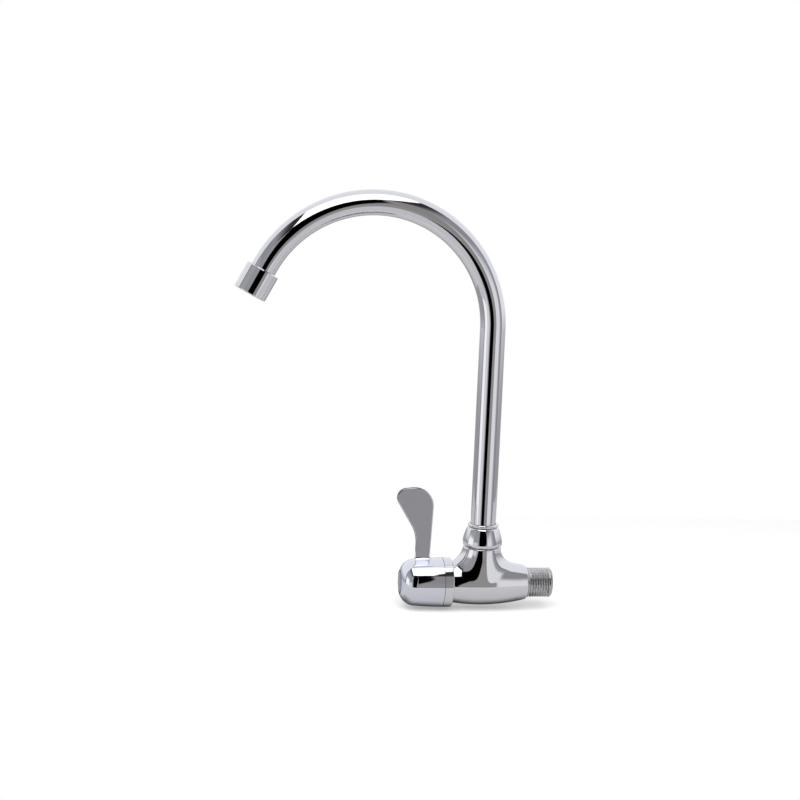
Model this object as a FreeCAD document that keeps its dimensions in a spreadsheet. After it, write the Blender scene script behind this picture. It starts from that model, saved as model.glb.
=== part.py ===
import FreeCAD, Part
import math
import os

import Sketcher

# Wall-mounted kitchen tap with a swivelling gooseneck spout and a quarter-turn lever.
# Frame: X along the barrel, towards the wall; Z up; origin on the barrel's axis where the
# wall thread meets the shoulder. Depths are measured from the origin towards the handle.

DIMENSIONS = {
    # barrel and wall tail
    "barrel_depth": 56.0,
    "barrel_curve": 140.0,
    "shoulder_radius": 11.9,
    "barrel_mouth_radius": 14.0,
    "shoulder_round": 1.2,
    "tail_length": 18.0,
    "thread_radius": 10.4775,
    "thread_height": 1.1,
    "thread_pitch": 1.814,
    "thread_land": 1.3,
    "thread_crest": 0.45,
    "thread_base": 1.55,
    "tail_chamfer": 1.0,
    "inlet_bore_radius": 6.5,
    # chambers in the barrel
    "seat_depth": 18.0,
    "chamber_radius": 10.2,
    "socket_radius": 11.0,
    "socket_length": 11.0,
    # neck
    "spout_depth": 33.0,
    "neck_radius": 13.4,
    "neck_height": 26.6,
    "neck_fillet": 7.0,
    "spigot_radius": 10.4,
    "spigot_height": 4.0,
    "spout_socket_radius": 8.6,
    # swivel nut
    "nut_corner_radius": 15.0,
    "nut_height": 16.2,
    "nut_taper": 13.0,
    "nut_widest": 2.2,
    "nut_foot_radius": 12.7,
    "nut_shoulder_radius": 10.6,
    "nut_shoulder_fall": 2.0,
    "nut_turn": 28.0,
    "bead_radius": 10.8,
    "bead_height": 2.6,
    "bead_groove": 0.7,
    # spout
    "tube_radius": 9.0,
    "tube_wall": 1.0,
    "bend_radius": 85.5,
    "limb_top": 182.5,
    "bend_angle": 152.0,
    "outlet_straight": 10.0,
    "flange_thickness": 1.5,
    "slip_thickness": 0.8,
    "retainer_thickness": 1.0,
    "retainer_slit": 2.0,
    "tail_spigot_length": 16.8,
    "tail_bore_radius": 5.4,
    "braze_length": 6.5,
    "ring_section": 1.8,
    "upper_ring_drop": 4.3,
    "lower_ring_drop": 10.0,
    # outlet
    "housing_start": 2.8,
    "housing_length": 19.2,
    "housing_radius": 12.0,
    "housing_wall": 1.1,
    "housing_lip": 0.8,
    "housing_chamfer": 1.4,
    "housing_round": 0.9,
    "nipple_stop": 3.0,
    "aerator_washer_thickness": 1.5,
    "insert_height": 5.3,
    "insert_rim": 2.0,
    "insert_plate": 1.5,
    "insert_pitch": 2.4,
    "insert_hole_radius": 0.7,
    "screen_thickness": 0.6,
    "screen_pitch": 1.9,
    "screen_hole_radius": 0.55,
    "outlet_mouth_radius": 9.4,
    # shroud ring
    "shroud_step": 3.5,
    "shroud_overlap": 1.1,
    "shroud_length": 6.3,
    "shroud_wall": 2.3,
    "shroud_web": 1.2,
    "shroud_round": 0.7,
    # headwork
    "gasket_thickness": 0.8,
    "flange_radius": 13.0,
    "flange_width": 2.0,
    "hex_width": 4.5,
    "hex_corner_radius": 9.8,
    "nose_radius": 7.0,
    "nose_width": 1.5,
    "headwork_radius": 9.4,
    "skirt_radius": 8.0,
    "disc_radius": 7.8,
    "disc_thickness": 3.2,
    "disc_port_radius": 2.3,
    "disc_port_offset": 4.4,
    "seal_thickness": 2.0,
    "seal_width": 1.1,
    "spindle_radius": 4.95,
    "spindle_head_thickness": 3.0,
    "spindle_tongue": 3.0,
    "tongue_inset": 1.0,
    "tongue_height": 1.4,
    "window_width": 5.0,
    "thrust_thickness": 0.8,
    "spline_radius": 4.0,
    "spline_length": 11.6,
    "spline_depth": 0.45,
    "circlip_thickness": 1.0,
    "circlip_width": 2.2,
    "circlip_seat": 0.75,
    "spindle_ring_section": 1.6,
    "inner_seal_inset": 5.6,
    "outer_seal_inset": 9.6,
    # handle
    "joint_gap": 0.3,
    "hub_taper": 0.85,
    "hub_crown": 260.0,
    "hub_length": 30.2,
    "hub_corner": 11.0,
    "hub_wall": 2.9,
    "hub_web_depth": 18.3,
    "boss_radius": 7.2,
    "web_thickness": 3.7,
    "counterbore_radius": 6.0,
    "button_radius": 8.5,
    "button_rim": 1.4,
    "button_crown": 1.6,
    "button_wall": 1.3,
    "button_spigot": 2.9,
    "screw_radius": 2.0,
    "screw_head_radius": 3.7,
    "screw_head_height": 2.4,
    "screw_socket_radius": 1.45,
    "screw_reach": 12.0,
    # paddle of the lever, measured from the back of the hub and the barrel axis
    "paddle_thickness": 3.0,
    "paddle_edge_round": 0.7,
    "paddle_front": 19.5,
    "paddle_back": 9.3,
    "big_lobe_offset": 21.5,
    "big_lobe_height": 54.9,
    "big_lobe_radius": 13.6,
    "small_lobe_offset": 27.4,
    "small_lobe_height": 61.2,
    "small_lobe_radius": 6.8,
    "paddle_waist_height": 28.0,
    "paddle_waist_radius": 25.0,
    "paddle_sink": 1.0,
    "root_fillet": 2.2,
    # clearances
    "running_gap": 0.05,
    "loose_gap": 0.1,
    "cover_gap": 0.25,
}
HEX_SIDES = 6
SPLINE_TEETH = 20
INSERT_RINGS = (1, 2, 3)
SCREEN_RINGS = (1, 2, 3, 4)
# How far a cut starts outside the metal that it goes through
CLEAR = 1.0
TOLERANCE = 1e-6

NODES = (
    "tap_body",
    "shroud_ring",
    "headwork_body",
    "headwork_gasket",
    "fixed_ceramic_disc",
    "seat_seal",
    "thrust_washer",
    "swivel_nut",
    "slip_washer",
    "spout_retaining_ring",
    "lever_handle",
    "handle_screw",
    "index_button",
    "spindle",
    "spindle_o_rings",
    "spindle_circlip",
    "moving_ceramic_disc",
    "spout_tube",
    "spout_tail",
    "spout_o_rings",
    "outlet_nipple",
    "aerator_housing",
    "aerator_washer",
    "aerator_insert",
    "aerator_screen",
)
# Nodes of two separate rings each; every other node is one solid
RING_PAIRS = ("spindle_o_rings", "spout_o_rings")

doc = FreeCAD.newDocument("wall_tap")
sheet = doc.addObject("Spreadsheet::Sheet", "Sizes")


class Size:
    """A length or angle together with the expression over the sheet that gives it."""

    def __init__(self, text, value):
        self.text = text
        self.value = value

    def __add__(self, other):
        return combine(self, "+", other)

    def __radd__(self, other):
        return combine(other, "+", self)

    def __sub__(self, other):
        return combine(self, "-", other)

    def __rsub__(self, other):
        return combine(other, "-", self)

    def __mul__(self, other):
        return combine(self, "*", other)

    def __rmul__(self, other):
        return combine(other, "*", self)

    def __truediv__(self, other):
        return combine(self, "/", other)

    def __neg__(self):
        return combine(0, "-", self)


OPERATIONS = {
    "+": lambda a, b: a + b,
    "-": lambda a, b: a - b,
    "*": lambda a, b: a * b,
    "/": lambda a, b: a / b,
}


def as_size(number):
    if isinstance(number, Size):
        return number
    return Size("%.6g" % number, float(number))


def combine(left, sign, right):
    a, b = as_size(left), as_size(right)
    return Size("(%s %s %s)" % (a.text, sign, b.text), OPERATIONS[sign](a.value, b.value))


def cosine(angle):
    a = as_size(angle)
    return Size("cos(%s)" % a.text, math.cos(math.radians(a.value)))


def sine(angle):
    a = as_size(angle)
    return Size("sin(%s)" % a.text, math.sin(math.radians(a.value)))


class Dimensions:
    """Reads a driving dimension by its name."""

    def __getattr__(self, name):
        return Size("Sizes.%s" % name, DIMENSIONS[name])


def fill_sheet():
    for row, (name, number) in enumerate(DIMENSIONS.items(), start=1):
        sheet.set("A%d" % row, name)
        sheet.set("B%d" % row, str(number))
        sheet.setAlias("B%d" % row, name)


fill_sheet()
doc.recompute()
D = Dimensions()

# Places along the barrel, as distances from the shoulder towards the handle
DISC_SEAT = D.seat_depth + D.seal_thickness
MOVING_DISC = DISC_SEAT + D.disc_thickness + D.running_gap
SPINDLE_HEAD = MOVING_DISC + D.disc_thickness + D.running_gap
THRUST_FACE = SPINDLE_HEAD + D.spindle_head_thickness + D.running_gap
HEADWORK_WEB = THRUST_FACE + D.thrust_thickness
GASKET_FACE = D.barrel_depth + D.shroud_web
FLANGE_FACE = GASKET_FACE + D.gasket_thickness
HEX_FACE = FLANGE_FACE + D.flange_width
NOSE_FACE = HEX_FACE + D.hex_width
NOSE_END = NOSE_FACE + D.nose_width
CIRCLIP_FACE = NOSE_END + D.running_gap
SPLINE_START = CIRCLIP_FACE + 2 * D.circlip_thickness + 2 * D.joint_gap
SPLINE_END = SPLINE_START + D.spline_length
SHROUD_BACK = D.barrel_depth - D.shroud_overlap
SHROUD_FRONT = SHROUD_BACK + D.shroud_length
HUB_BACK = SHROUD_FRONT + D.joint_gap
WEB_BACK = HUB_BACK + D.hub_web_depth
WEB_FRONT = WEB_BACK + D.joint_gap + D.web_thickness
HUB_FRONT = HUB_BACK + D.hub_length
BUTTON_SEAT = HUB_FRONT - D.button_rim - D.button_crown / 2

# The shroud and the back of the hub are flush with each other
SHROUD_RADIUS = D.barrel_mouth_radius + D.shroud_step
HUB_FRONT_RADIUS = SHROUD_RADIUS - D.hub_taper

# Heights on the spout axis
SPIGOT_TOP = D.neck_height + D.spigot_height
FLANGE_FOOT = SPIGOT_TOP + D.slip_thickness
TUBE_FOOT = FLANGE_FOOT + D.flange_thickness
RETAINER_FOOT = TUBE_FOOT + D.running_gap
NUT_LEDGE = RETAINER_FOOT + D.retainer_thickness + D.running_gap
NUT_FOOT = D.neck_height + D.cover_gap
NUT_TOP = NUT_FOOT + D.nut_height

# Places along the outlet axis, from the end of the bend
NIPPLE_TOP = D.housing_start + D.housing_lip + D.loose_gap
NIPPLE_END = D.outlet_straight + D.nipple_stop
WASHER_END = NIPPLE_END + D.running_gap + D.aerator_washer_thickness
INSERT_END = WASHER_END + D.insert_height
SCREEN_END = INSERT_END + D.screen_thickness
HOUSING_END = D.housing_start + D.housing_length
HOUSING_BORE = D.housing_radius - D.housing_wall

# Seal rings and the end of the bend
INNER_SEAL = HEADWORK_WEB + D.inner_seal_inset
OUTER_SEAL = HEADWORK_WEB + D.outer_seal_inset
UPPER_RING = SPIGOT_TOP - D.upper_ring_drop
LOWER_RING = SPIGOT_TOP - D.lower_ring_drop
OUTLET_DIRECTION = (-sine(D.bend_angle), cosine(D.bend_angle))
BEND_END = (
    D.bend_radius * cosine(D.bend_angle) - D.spout_depth - D.bend_radius,
    D.bend_radius * sine(D.bend_angle) + D.limb_top,
)


def vector(x, y, z=0.0):
    return FreeCAD.Vector(as_size(x).value, as_size(y).value, as_size(z).value)


def new_body(name):
    body = doc.addObject("PartDesign::Body", name)
    body.Label = name
    return body


def bind(item, prop, amount):
    """Sets a property of an object from a size, with the size's expression."""
    size = as_size(amount)
    item.setExpression(prop, size.text)


def new_sketch(body, name, role="XZ_Plane", right=0, out=0):
    """Empty sketch on an origin plane of its body, shifted within and out of that plane."""
    sketch = body.newObject("Sketcher::SketchObject", "%s_%s" % (body.Name, name))
    base = next(p for p in body.Origin.OriginFeatures if p.Role == role)
    sketch.AttachmentSupport = (base, [""])
    sketch.MapMode = "FlatFace"
    for axis, shift in (("x", right), ("z", out)):
        if isinstance(shift, Size):
            bind(sketch, ".AttachmentOffset.Base.%s" % axis, shift)
    return sketch


def hold(sketch, kind, places, amount):
    """Adds a dimension to a sketch and binds it to its size."""
    size = as_size(amount)
    index = sketch.addConstraint(Sketcher.Constraint(kind, *places, size.value))
    sketch.setExpression("Constraints[%d]" % index, size.text)


def fix_point(sketch, place, x, y):
    """Fixes a sketch point at x, y from the sketch's origin."""
    for amount, kind, axis in ((as_size(x), "DistanceX", -2), (as_size(y), "DistanceY", -1)):
        if amount.text == "0":
            sketch.addConstraint(Sketcher.Constraint("PointOnObject", *place, axis))
        else:
            hold(sketch, kind, (-1, 1) + place, amount)


def add_arc(sketch, centre, radius, start, end, clockwise):
    """Draws an arc; returns its index with the numbers of its start and end points."""
    first, last = (end, start) if clockwise else (start, end)
    low = math.atan2(first.y - centre.y, first.x - centre.x)
    high = math.atan2(last.y - centre.y, last.x - centre.x)
    if high < low:
        high += 2 * math.pi
    ring = Part.Circle(centre, FreeCAD.Vector(0, 0, 1), radius)
    index = sketch.addGeometry(Part.ArcOfCircle(ring, low, high), False)
    return (index, 2, 1) if clockwise else (index, 1, 2)


def bow_centre(start, end, radius, clockwise):
    """Centre of the short arc of a radius from start to end."""
    chord = end - start
    side = FreeCAD.Vector(-chord.y, chord.x, 0).normalize()
    depth = math.sqrt(max(radius * radius - chord.Length ** 2 / 4, 0))
    return (start + end) * 0.5 + side * (-depth if clockwise else depth)


def outline(sketch, points, arcs=None):
    """Closed outline; arcs gives the radius and the clockwise flag of each side that is round."""
    arcs = arcs or {}
    count = len(points)
    ends = []
    for i, (x, y) in enumerate(points):
        start, end = vector(x, y), vector(*points[(i + 1) % count])
        if i in arcs:
            radius, clockwise = arcs[i]
            reach = as_size(radius).value
            centre = bow_centre(start, end, reach, clockwise)
            ends.append(add_arc(sketch, centre, reach, start, end, clockwise))
        else:
            ends.append((sketch.addGeometry(Part.LineSegment(start, end), False), 1, 2))
    for i in range(count):
        here, after = ends[i], ends[(i + 1) % count]
        sketch.addConstraint(Sketcher.Constraint("Coincident", here[0], here[2], after[0], after[1]))
    for i, (x, y) in enumerate(points):
        fix_point(sketch, (ends[i][0], ends[i][1]), x, y)
    for i, (radius, clockwise) in arcs.items():
        hold(sketch, "Radius", (ends[i][0],), radius)


def circle(sketch, x, y, radius):
    ring = Part.Circle(vector(x, y), FreeCAD.Vector(0, 0, 1), as_size(radius).value)
    index = sketch.addGeometry(ring, False)
    if as_size(x).text == "0" and as_size(y).text == "0":
        sketch.addConstraint(Sketcher.Constraint("Coincident", index, 3, -1, 1))
    else:
        fix_point(sketch, (index, 3), x, y)
    hold(sketch, "Radius", (index,), radius)


def rectangle(sketch, left, right, low, high):
    outline(sketch, [(left, low), (right, low), (right, high), (left, high)])


def hexagon(sketch, corner_radius, turned=0):
    """Hexagon about the sketch's origin, with its first corner at an angle to the horizontal."""
    corners = []
    for i in range(HEX_SIDES):
        angle = as_size(turned) + 360 * i / HEX_SIDES
        height = 0 if isinstance(turned, int) and i % 3 == 0 else corner_radius * sine(angle)
        corners.append((corner_radius * cosine(angle), height))
    outline(sketch, corners)


def feature(body, kind, name, sketch):
    item = body.newObject("PartDesign::%s" % kind, "%s_%s" % (body.Name, name))
    item.Profile = sketch
    return item


def turn(body, name, sketch, axis="H_Axis", kind="Revolution"):
    """Full turn of a sketch about one of its own axes, as material or as a cut."""
    item = feature(body, kind, name, sketch)
    item.ReferenceAxis = (sketch, [axis])
    item.Angle = 360
    return item


def pad(body, name, sketch, length, both_sides=False, backwards=False):
    item = feature(body, "Pad", name, sketch)
    item.SideType = "Symmetric" if both_sides else "One side"
    item.Reversed = backwards
    bind(item, "Length", length)
    return item


def pocket(body, name, sketch, length=None, both_sides=False, backwards=False):
    """Cut of a sketch, to a depth or right through, checked to take material away."""
    doc.recompute()
    before = body.Tip.Shape.Volume
    item = feature(body, "Pocket", name, sketch)
    item.SideType = "Symmetric" if both_sides else "One side"
    item.Reversed = backwards
    if length is None:
        item.Type = "ThroughAll"
    else:
        bind(item, "Length", length)
    doc.recompute()
    if item.Shape.Volume > before - TOLERANCE:
        raise RuntimeError("%s cuts nothing" % item.Name)
    return item


def repeat_round(body, name, sketch, first, count):
    """Copies a feature evenly round the axis through its sketch's origin."""
    pattern = body.newObject("PartDesign::PolarPattern", "%s_%s" % (body.Name, name))
    pattern.Originals = [first]
    pattern.Axis = (sketch, ["N_Axis"])
    pattern.Angle = 360
    pattern.Occurrences = count
    body.Tip = pattern


def edges_where(item, test):
    """Names of the edges of a feature that pass a test."""
    doc.recompute()
    return ["Edge%d" % (i + 1) for i, edge in enumerate(item.Shape.Edges) if test(edge)]


def fillet(body, name, item, edges, radius):
    dress = body.newObject("PartDesign::Fillet", "%s_%s" % (body.Name, name))
    dress.Base = (item, edges)
    bind(dress, "Radius", radius)
    return dress


def along_x(name, outer, inner, start, end):
    """Ring about the barrel's axis between two depths."""
    body = new_body(name)
    sketch = new_sketch(body, "outline")
    rectangle(sketch, -as_size(end), -as_size(start), inner, outer)
    turn(body, "ring", sketch)
    return body


def along_spout(name, outer, inner, low, high):
    """Ring about the spout's axis between two heights."""
    body = new_body(name)
    sketch = new_sketch(body, "outline", right=-D.spout_depth)
    rectangle(sketch, inner, outer, low, high)
    turn(body, "ring", sketch, "V_Axis")
    return body


def seal_pair(name, section, centre_radius, first, second, axis, place):
    """Two sealing rings on one axis, in one node."""
    rings = []
    for number, spot in ((1, first), (2, second)):
        ring = doc.addObject("Part::Torus", "%s_%d" % (name, number))
        bind(ring, "Radius1", centre_radius)
        bind(ring, "Radius2", section / 2)
        ring.Placement = FreeCAD.Placement(FreeCAD.Vector(), FreeCAD.Rotation(FreeCAD.Vector(0, 1, 0), axis))
        for letter, amount in zip("xyz", place(spot)):
            if isinstance(amount, Size):
                bind(ring, ".Placement.Base.%s" % letter, amount)
        rings.append(ring)
    pair = doc.addObject("Part::Compound", name)
    pair.Label = name
    pair.Links = rings
    return pair


def bow_radius(run, rise):
    """Radius of an arc that starts level and falls by rise over run."""
    return (run * run + rise * rise) / (rise * 2)


def split_along_x(body, slit, radius, start, end):
    """Opens a ring about the barrel's axis at its lowest point."""
    cut = new_sketch(body, "slit", role="YZ_Plane", out=-as_size(end))
    rectangle(cut, -slit / 2, slit / 2, -radius, 0)
    pocket(body, "opening", cut, as_size(end) - start, backwards=True)


def tap_body():
    """Barrel, neck, chambers and wall thread in one casting."""
    body = new_body("tap_body")
    root = D.thread_radius - D.thread_height
    land = D.tail_length - D.tail_chamfer
    shell = new_sketch(body, "shell", role="XY_Plane")
    outline(shell, [
        (-D.barrel_depth, 0),
        (D.tail_length, 0),
        (D.tail_length, D.thread_radius - D.tail_chamfer),
        (land, D.thread_radius),
        (land - D.thread_land, D.thread_radius),
        (land - D.thread_land - D.thread_height, root),
        (D.thread_land + D.thread_height, root),
        (D.thread_land, D.thread_radius),
        (0, D.thread_radius),
        (0, D.shoulder_radius - D.shoulder_round),
        (-D.shoulder_round, D.shoulder_radius),
        (-D.barrel_depth, D.barrel_mouth_radius),
    ], arcs={9: (D.shoulder_round, False), 10: (D.barrel_curve, False)})
    turn(body, "barrel", shell)

    ridge = new_sketch(body, "ridge")
    middle = D.thread_land - D.thread_base / 2
    outline(ridge, [
        (middle - D.thread_base / 2, root - D.loose_gap),
        (middle + D.thread_base / 2, root - D.loose_gap),
        (middle + D.thread_crest / 2, D.thread_radius - D.running_gap),
        (middle - D.thread_crest / 2, D.thread_radius - D.running_gap),
    ])
    thread = feature(body, "AdditiveHelix", "thread", ridge)
    thread.ReferenceAxis = (ridge, ["H_Axis"])
    thread.Mode = "pitch-height-angle"
    bind(thread, "Pitch", D.thread_pitch)
    bind(thread, "Height", land - D.thread_land / 2 - middle)

    stem = new_sketch(body, "stem", right=-D.spout_depth)
    rectangle(stem, 0, D.neck_radius, 0, D.neck_height)
    neck = turn(body, "neck", stem, "V_Axis")

    def at_neck_foot(edge):
        ends = [math.hypot(v.X + D.spout_depth.value, v.Y) for v in edge.Vertexes]
        on_neck = all(abs(reach - D.neck_radius.value) < TOLERANCE for reach in ends)
        return on_neck and edge.BoundBox.ZMin > 0 and edge.BoundBox.ZMax < D.neck_height.value - CLEAR

    fillet(body, "neck_flare", neck, edges_where(neck, at_neck_foot), D.neck_fillet)

    spigot = new_sketch(body, "spigot", right=-D.spout_depth)
    rectangle(spigot, 0, D.spigot_radius, D.neck_height / 2, SPIGOT_TOP)
    turn(body, "spigot", spigot, "V_Axis")

    chambers = new_sketch(body, "chambers")
    outline(chambers, [
        (-D.barrel_depth - CLEAR, 0),
        (D.tail_length + CLEAR, 0),
        (D.tail_length + CLEAR, D.inlet_bore_radius),
        (-D.seat_depth, D.inlet_bore_radius),
        (-D.seat_depth, D.chamber_radius),
        (D.socket_length - D.barrel_depth, D.chamber_radius),
        (D.socket_length - D.barrel_depth, D.socket_radius),
        (-D.barrel_depth - CLEAR, D.socket_radius),
    ])
    turn(body, "waterway", chambers, kind="Groove")
    riser = new_sketch(body, "riser", right=-D.spout_depth)
    rectangle(riser, 0, D.spout_socket_radius, 0, SPIGOT_TOP + CLEAR)
    turn(body, "spout_socket", riser, "V_Axis", kind="Groove")


def shroud_ring():
    """Collar that covers the joint of the barrel and the handle."""
    body = new_body("shroud_ring")
    lip = D.barrel_mouth_radius + 2 * D.cover_gap
    rim = SHROUD_RADIUS - D.shroud_wall
    eye = D.socket_radius + D.cover_gap
    sketch = new_sketch(body, "outline")
    outline(sketch, [
        (-SHROUD_BACK, lip),
        (-D.barrel_depth, lip),
        (-D.barrel_depth, eye),
        (-GASKET_FACE, eye),
        (-GASKET_FACE, rim),
        (-SHROUD_FRONT, rim),
        (-SHROUD_FRONT, SHROUD_RADIUS),
        (-SHROUD_BACK - D.shroud_round, SHROUD_RADIUS),
        (-SHROUD_BACK, SHROUD_RADIUS - D.shroud_round),
    ], arcs={7: (D.shroud_round, True)})
    turn(body, "ring", sketch)


def headwork_body():
    """Brass body of the quarter-turn headwork, with its hexagon and water windows."""
    body = new_body("headwork_body")
    bore = D.spindle_radius + D.running_gap
    skirt_end = D.seat_depth + D.joint_gap
    shank = D.socket_radius - D.running_gap
    sketch = new_sketch(body, "outline")
    outline(sketch, [
        (-skirt_end, D.skirt_radius),
        (-HEADWORK_WEB, D.skirt_radius),
        (-HEADWORK_WEB, bore),
        (-NOSE_END, bore),
        (-NOSE_END, D.nose_radius),
        (-HEX_FACE, D.nose_radius),
        (-HEX_FACE, D.flange_radius),
        (-FLANGE_FACE, D.flange_radius),
        (-FLANGE_FACE, shank),
        (D.socket_length - D.barrel_depth - D.joint_gap, shank),
        (D.socket_length - D.barrel_depth - D.joint_gap, D.headwork_radius),
        (-skirt_end, D.headwork_radius),
    ])
    turn(body, "barrel", sketch)
    flats = new_sketch(body, "flats", role="YZ_Plane", out=-HEX_FACE)
    hexagon(flats, D.hex_corner_radius)
    circle(flats, 0, 0, (bore + D.nose_radius) / 2)
    pad(body, "hexagon", flats, D.hex_width, backwards=True)
    window = new_sketch(body, "window")
    rectangle(window, -MOVING_DISC - D.disc_thickness, -MOVING_DISC, -D.window_width / 2, D.window_width / 2)
    pocket(body, "windows", window, both_sides=True)


def spindle():
    """Spindle with its driving head, seal grooves, circlip groove, splines and tapped end."""
    body = new_body("spindle")
    groove = D.spindle_radius - D.spindle_ring_section - D.running_gap
    clip = D.spindle_radius - D.circlip_seat
    half = D.spindle_ring_section / 2 + D.loose_gap
    corners = [
        (-SPINDLE_HEAD, 0),
        (-SPINDLE_HEAD, D.disc_radius - D.loose_gap),
        (-SPINDLE_HEAD - D.spindle_head_thickness, D.disc_radius - D.loose_gap),
        (-SPINDLE_HEAD - D.spindle_head_thickness, D.spindle_radius),
    ]
    for middle in (INNER_SEAL, OUTER_SEAL):
        near, far = half - middle, -half - middle
        corners += [(near, D.spindle_radius), (near, groove), (far, groove), (far, D.spindle_radius)]
    clip_end = CIRCLIP_FACE + D.circlip_thickness + D.running_gap
    corners += [
        (-CIRCLIP_FACE, D.spindle_radius),
        (-CIRCLIP_FACE, clip),
        (-clip_end, clip),
        (-clip_end, D.spindle_radius),
        (-SPLINE_START, D.spindle_radius),
        (-SPLINE_START, D.spline_radius),
        (-SPLINE_END, D.spline_radius),
        (-SPLINE_END, D.screw_radius + D.running_gap),
        (D.screw_reach - SPLINE_END, D.screw_radius + D.running_gap),
        (D.screw_reach - SPLINE_END, 0),
    ]
    sketch = new_sketch(body, "outline")
    outline(sketch, corners)
    turn(body, "shaft", sketch)
    key = new_sketch(body, "key", role="YZ_Plane", out=-SPINDLE_HEAD)
    reach = D.disc_radius - D.tongue_inset
    rectangle(key, -reach, reach, -D.spindle_tongue / 2, D.spindle_tongue / 2)
    pad(body, "tongue", key, D.tongue_height)
    notch = new_sketch(body, "notch", role="YZ_Plane", out=-SPLINE_END)
    floor = D.spline_radius - D.spline_depth
    outline(notch, [
        (0, floor),
        (2 * D.spline_depth, D.spline_radius + D.spline_depth),
        (-2 * D.spline_depth, D.spline_radius + D.spline_depth),
    ])
    first = pocket(body, "spline", notch, D.spline_length, backwards=True)
    repeat_round(body, "splines", notch, first, SPLINE_TEETH)


def spindle_seals():
    centre = D.spindle_radius - D.spindle_ring_section / 2
    seal_pair("spindle_o_rings", D.spindle_ring_section, centre, INNER_SEAL, OUTER_SEAL, 90,
              lambda depth: (-depth, 0, 0))


def spindle_circlip():
    clip = D.spindle_radius - D.circlip_seat + D.running_gap
    end = CIRCLIP_FACE + D.circlip_thickness
    body = along_x("spindle_circlip", clip + D.circlip_width, clip, CIRCLIP_FACE, end)
    split_along_x(body, D.spindle_tongue, 2 * D.spindle_radius, CIRCLIP_FACE, end)


def ceramic_discs():
    """Fixed disc with two ports, and the moving disc whose notches meet them when open."""
    fixed = new_body("fixed_ceramic_disc")
    face = new_sketch(fixed, "face", role="YZ_Plane", out=-DISC_SEAT - D.disc_thickness)
    circle(face, 0, 0, D.disc_radius)
    for side in (-1, 1):
        circle(face, side * D.disc_port_offset, 0, D.disc_port_radius)
    pad(fixed, "disc", face, D.disc_thickness)

    moving = new_body("moving_ceramic_disc")
    back = -MOVING_DISC - D.disc_thickness
    face = new_sketch(moving, "face", role="YZ_Plane", out=back)
    circle(face, 0, 0, D.disc_radius)
    pad(moving, "disc", face, D.disc_thickness)
    ports = new_sketch(moving, "ports", role="YZ_Plane", out=back)
    inner = D.disc_port_offset - D.disc_port_radius
    rectangle(ports, -D.disc_port_radius, D.disc_port_radius, inner, D.disc_radius + CLEAR)
    rectangle(ports, -D.disc_port_radius, D.disc_port_radius, -D.disc_radius - CLEAR, -inner)
    pocket(moving, "notches", ports, D.disc_thickness, backwards=True)
    seat = new_sketch(moving, "seat", role="YZ_Plane", out=back)
    reach = D.disc_radius - D.tongue_inset + D.loose_gap
    half = D.spindle_tongue / 2 + D.loose_gap
    rectangle(seat, -reach, reach, -half, half)
    pocket(moving, "tongue_slot", seat, D.tongue_height + D.loose_gap, backwards=True)


def headwork_rings():
    """Plain rings of the headwork: seat seal, thrust washer and flange gasket."""
    along_x("seat_seal", D.disc_radius, D.disc_radius - D.seal_width, D.seat_depth, DISC_SEAT)
    along_x("thrust_washer", D.disc_radius, D.spindle_radius + D.loose_gap, THRUST_FACE, HEADWORK_WEB)
    along_x("headwork_gasket", D.flange_radius, D.socket_radius + D.loose_gap, GASKET_FACE, FLANGE_FACE)


def tangent_direction(centre, point, radius, side):
    """Direction from a circle's centre to where a line from a point touches the circle."""
    away = point - centre
    angle = math.atan2(away.y, away.x) + side * math.acos(radius / away.Length)
    return FreeCAD.Vector(math.cos(angle), math.sin(angle), 0)


def paddle_sketch(body):
    """Outline of the paddle: two round lobes joined by tangent lines and a hollow waist."""
    sketch = new_sketch(body, "paddle_outline")
    front = -(HUB_BACK + D.paddle_front)
    back = -(HUB_BACK + D.paddle_back)
    foot = SHROUD_RADIUS - D.hub_wall + D.paddle_sink
    big_spot = (-(HUB_BACK + D.big_lobe_offset), D.big_lobe_height)
    small_spot = (-(HUB_BACK + D.small_lobe_offset), D.small_lobe_height)
    big, small = vector(*big_spot), vector(*small_spot)
    waist = vector(front - D.paddle_waist_radius, D.paddle_waist_height)
    big_r, small_r = D.big_lobe_radius.value, D.small_lobe_radius.value
    waist_r = D.paddle_waist_radius.value
    side = tangent_direction(big, vector(back, foot), big_r, 1)
    top = tangent_direction(big, small, big_r - small_r, -1)
    low = tangent_direction(waist, small, waist_r + small_r, -1)
    points = [
        vector(back, foot),
        big + side * big_r,
        big + top * big_r,
        small + top * small_r,
        small - low * small_r,
        waist + low * waist_r,
        vector(front, D.paddle_waist_height),
        vector(front, foot),
    ]
    arcs = {1: (big, big_r, False), 3: (small, small_r, False), 5: (waist, waist_r, True)}
    ends = []
    for i, start in enumerate(points):
        end = points[(i + 1) % len(points)]
        if i in arcs:
            centre, radius, clockwise = arcs[i]
            ends.append(add_arc(sketch, centre, radius, start, end, clockwise))
        else:
            ends.append((sketch.addGeometry(Part.LineSegment(start, end), False), 1, 2))
    for i, here in enumerate(ends):
        after = ends[(i + 1) % len(ends)]
        kind = "Tangent" if i <= max(arcs) else "Coincident"
        sketch.addConstraint(Sketcher.Constraint(kind, here[0], here[2], after[0], after[1]))
    fix_point(sketch, (1, 3), *big_spot)
    fix_point(sketch, (3, 3), *small_spot)
    hold(sketch, "Radius", (1,), D.big_lobe_radius)
    hold(sketch, "Radius", (3,), D.small_lobe_radius)
    hold(sketch, "Radius", (5,), D.paddle_waist_radius)
    fix_point(sketch, (0, 1), back, foot)
    fix_point(sketch, (7, 1), front, foot)
    sketch.addConstraint(Sketcher.Constraint("Vertical", 6))
    hold(sketch, "DistanceY", (-1, 1, 6, 1), D.paddle_waist_height)
    return sketch


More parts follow.
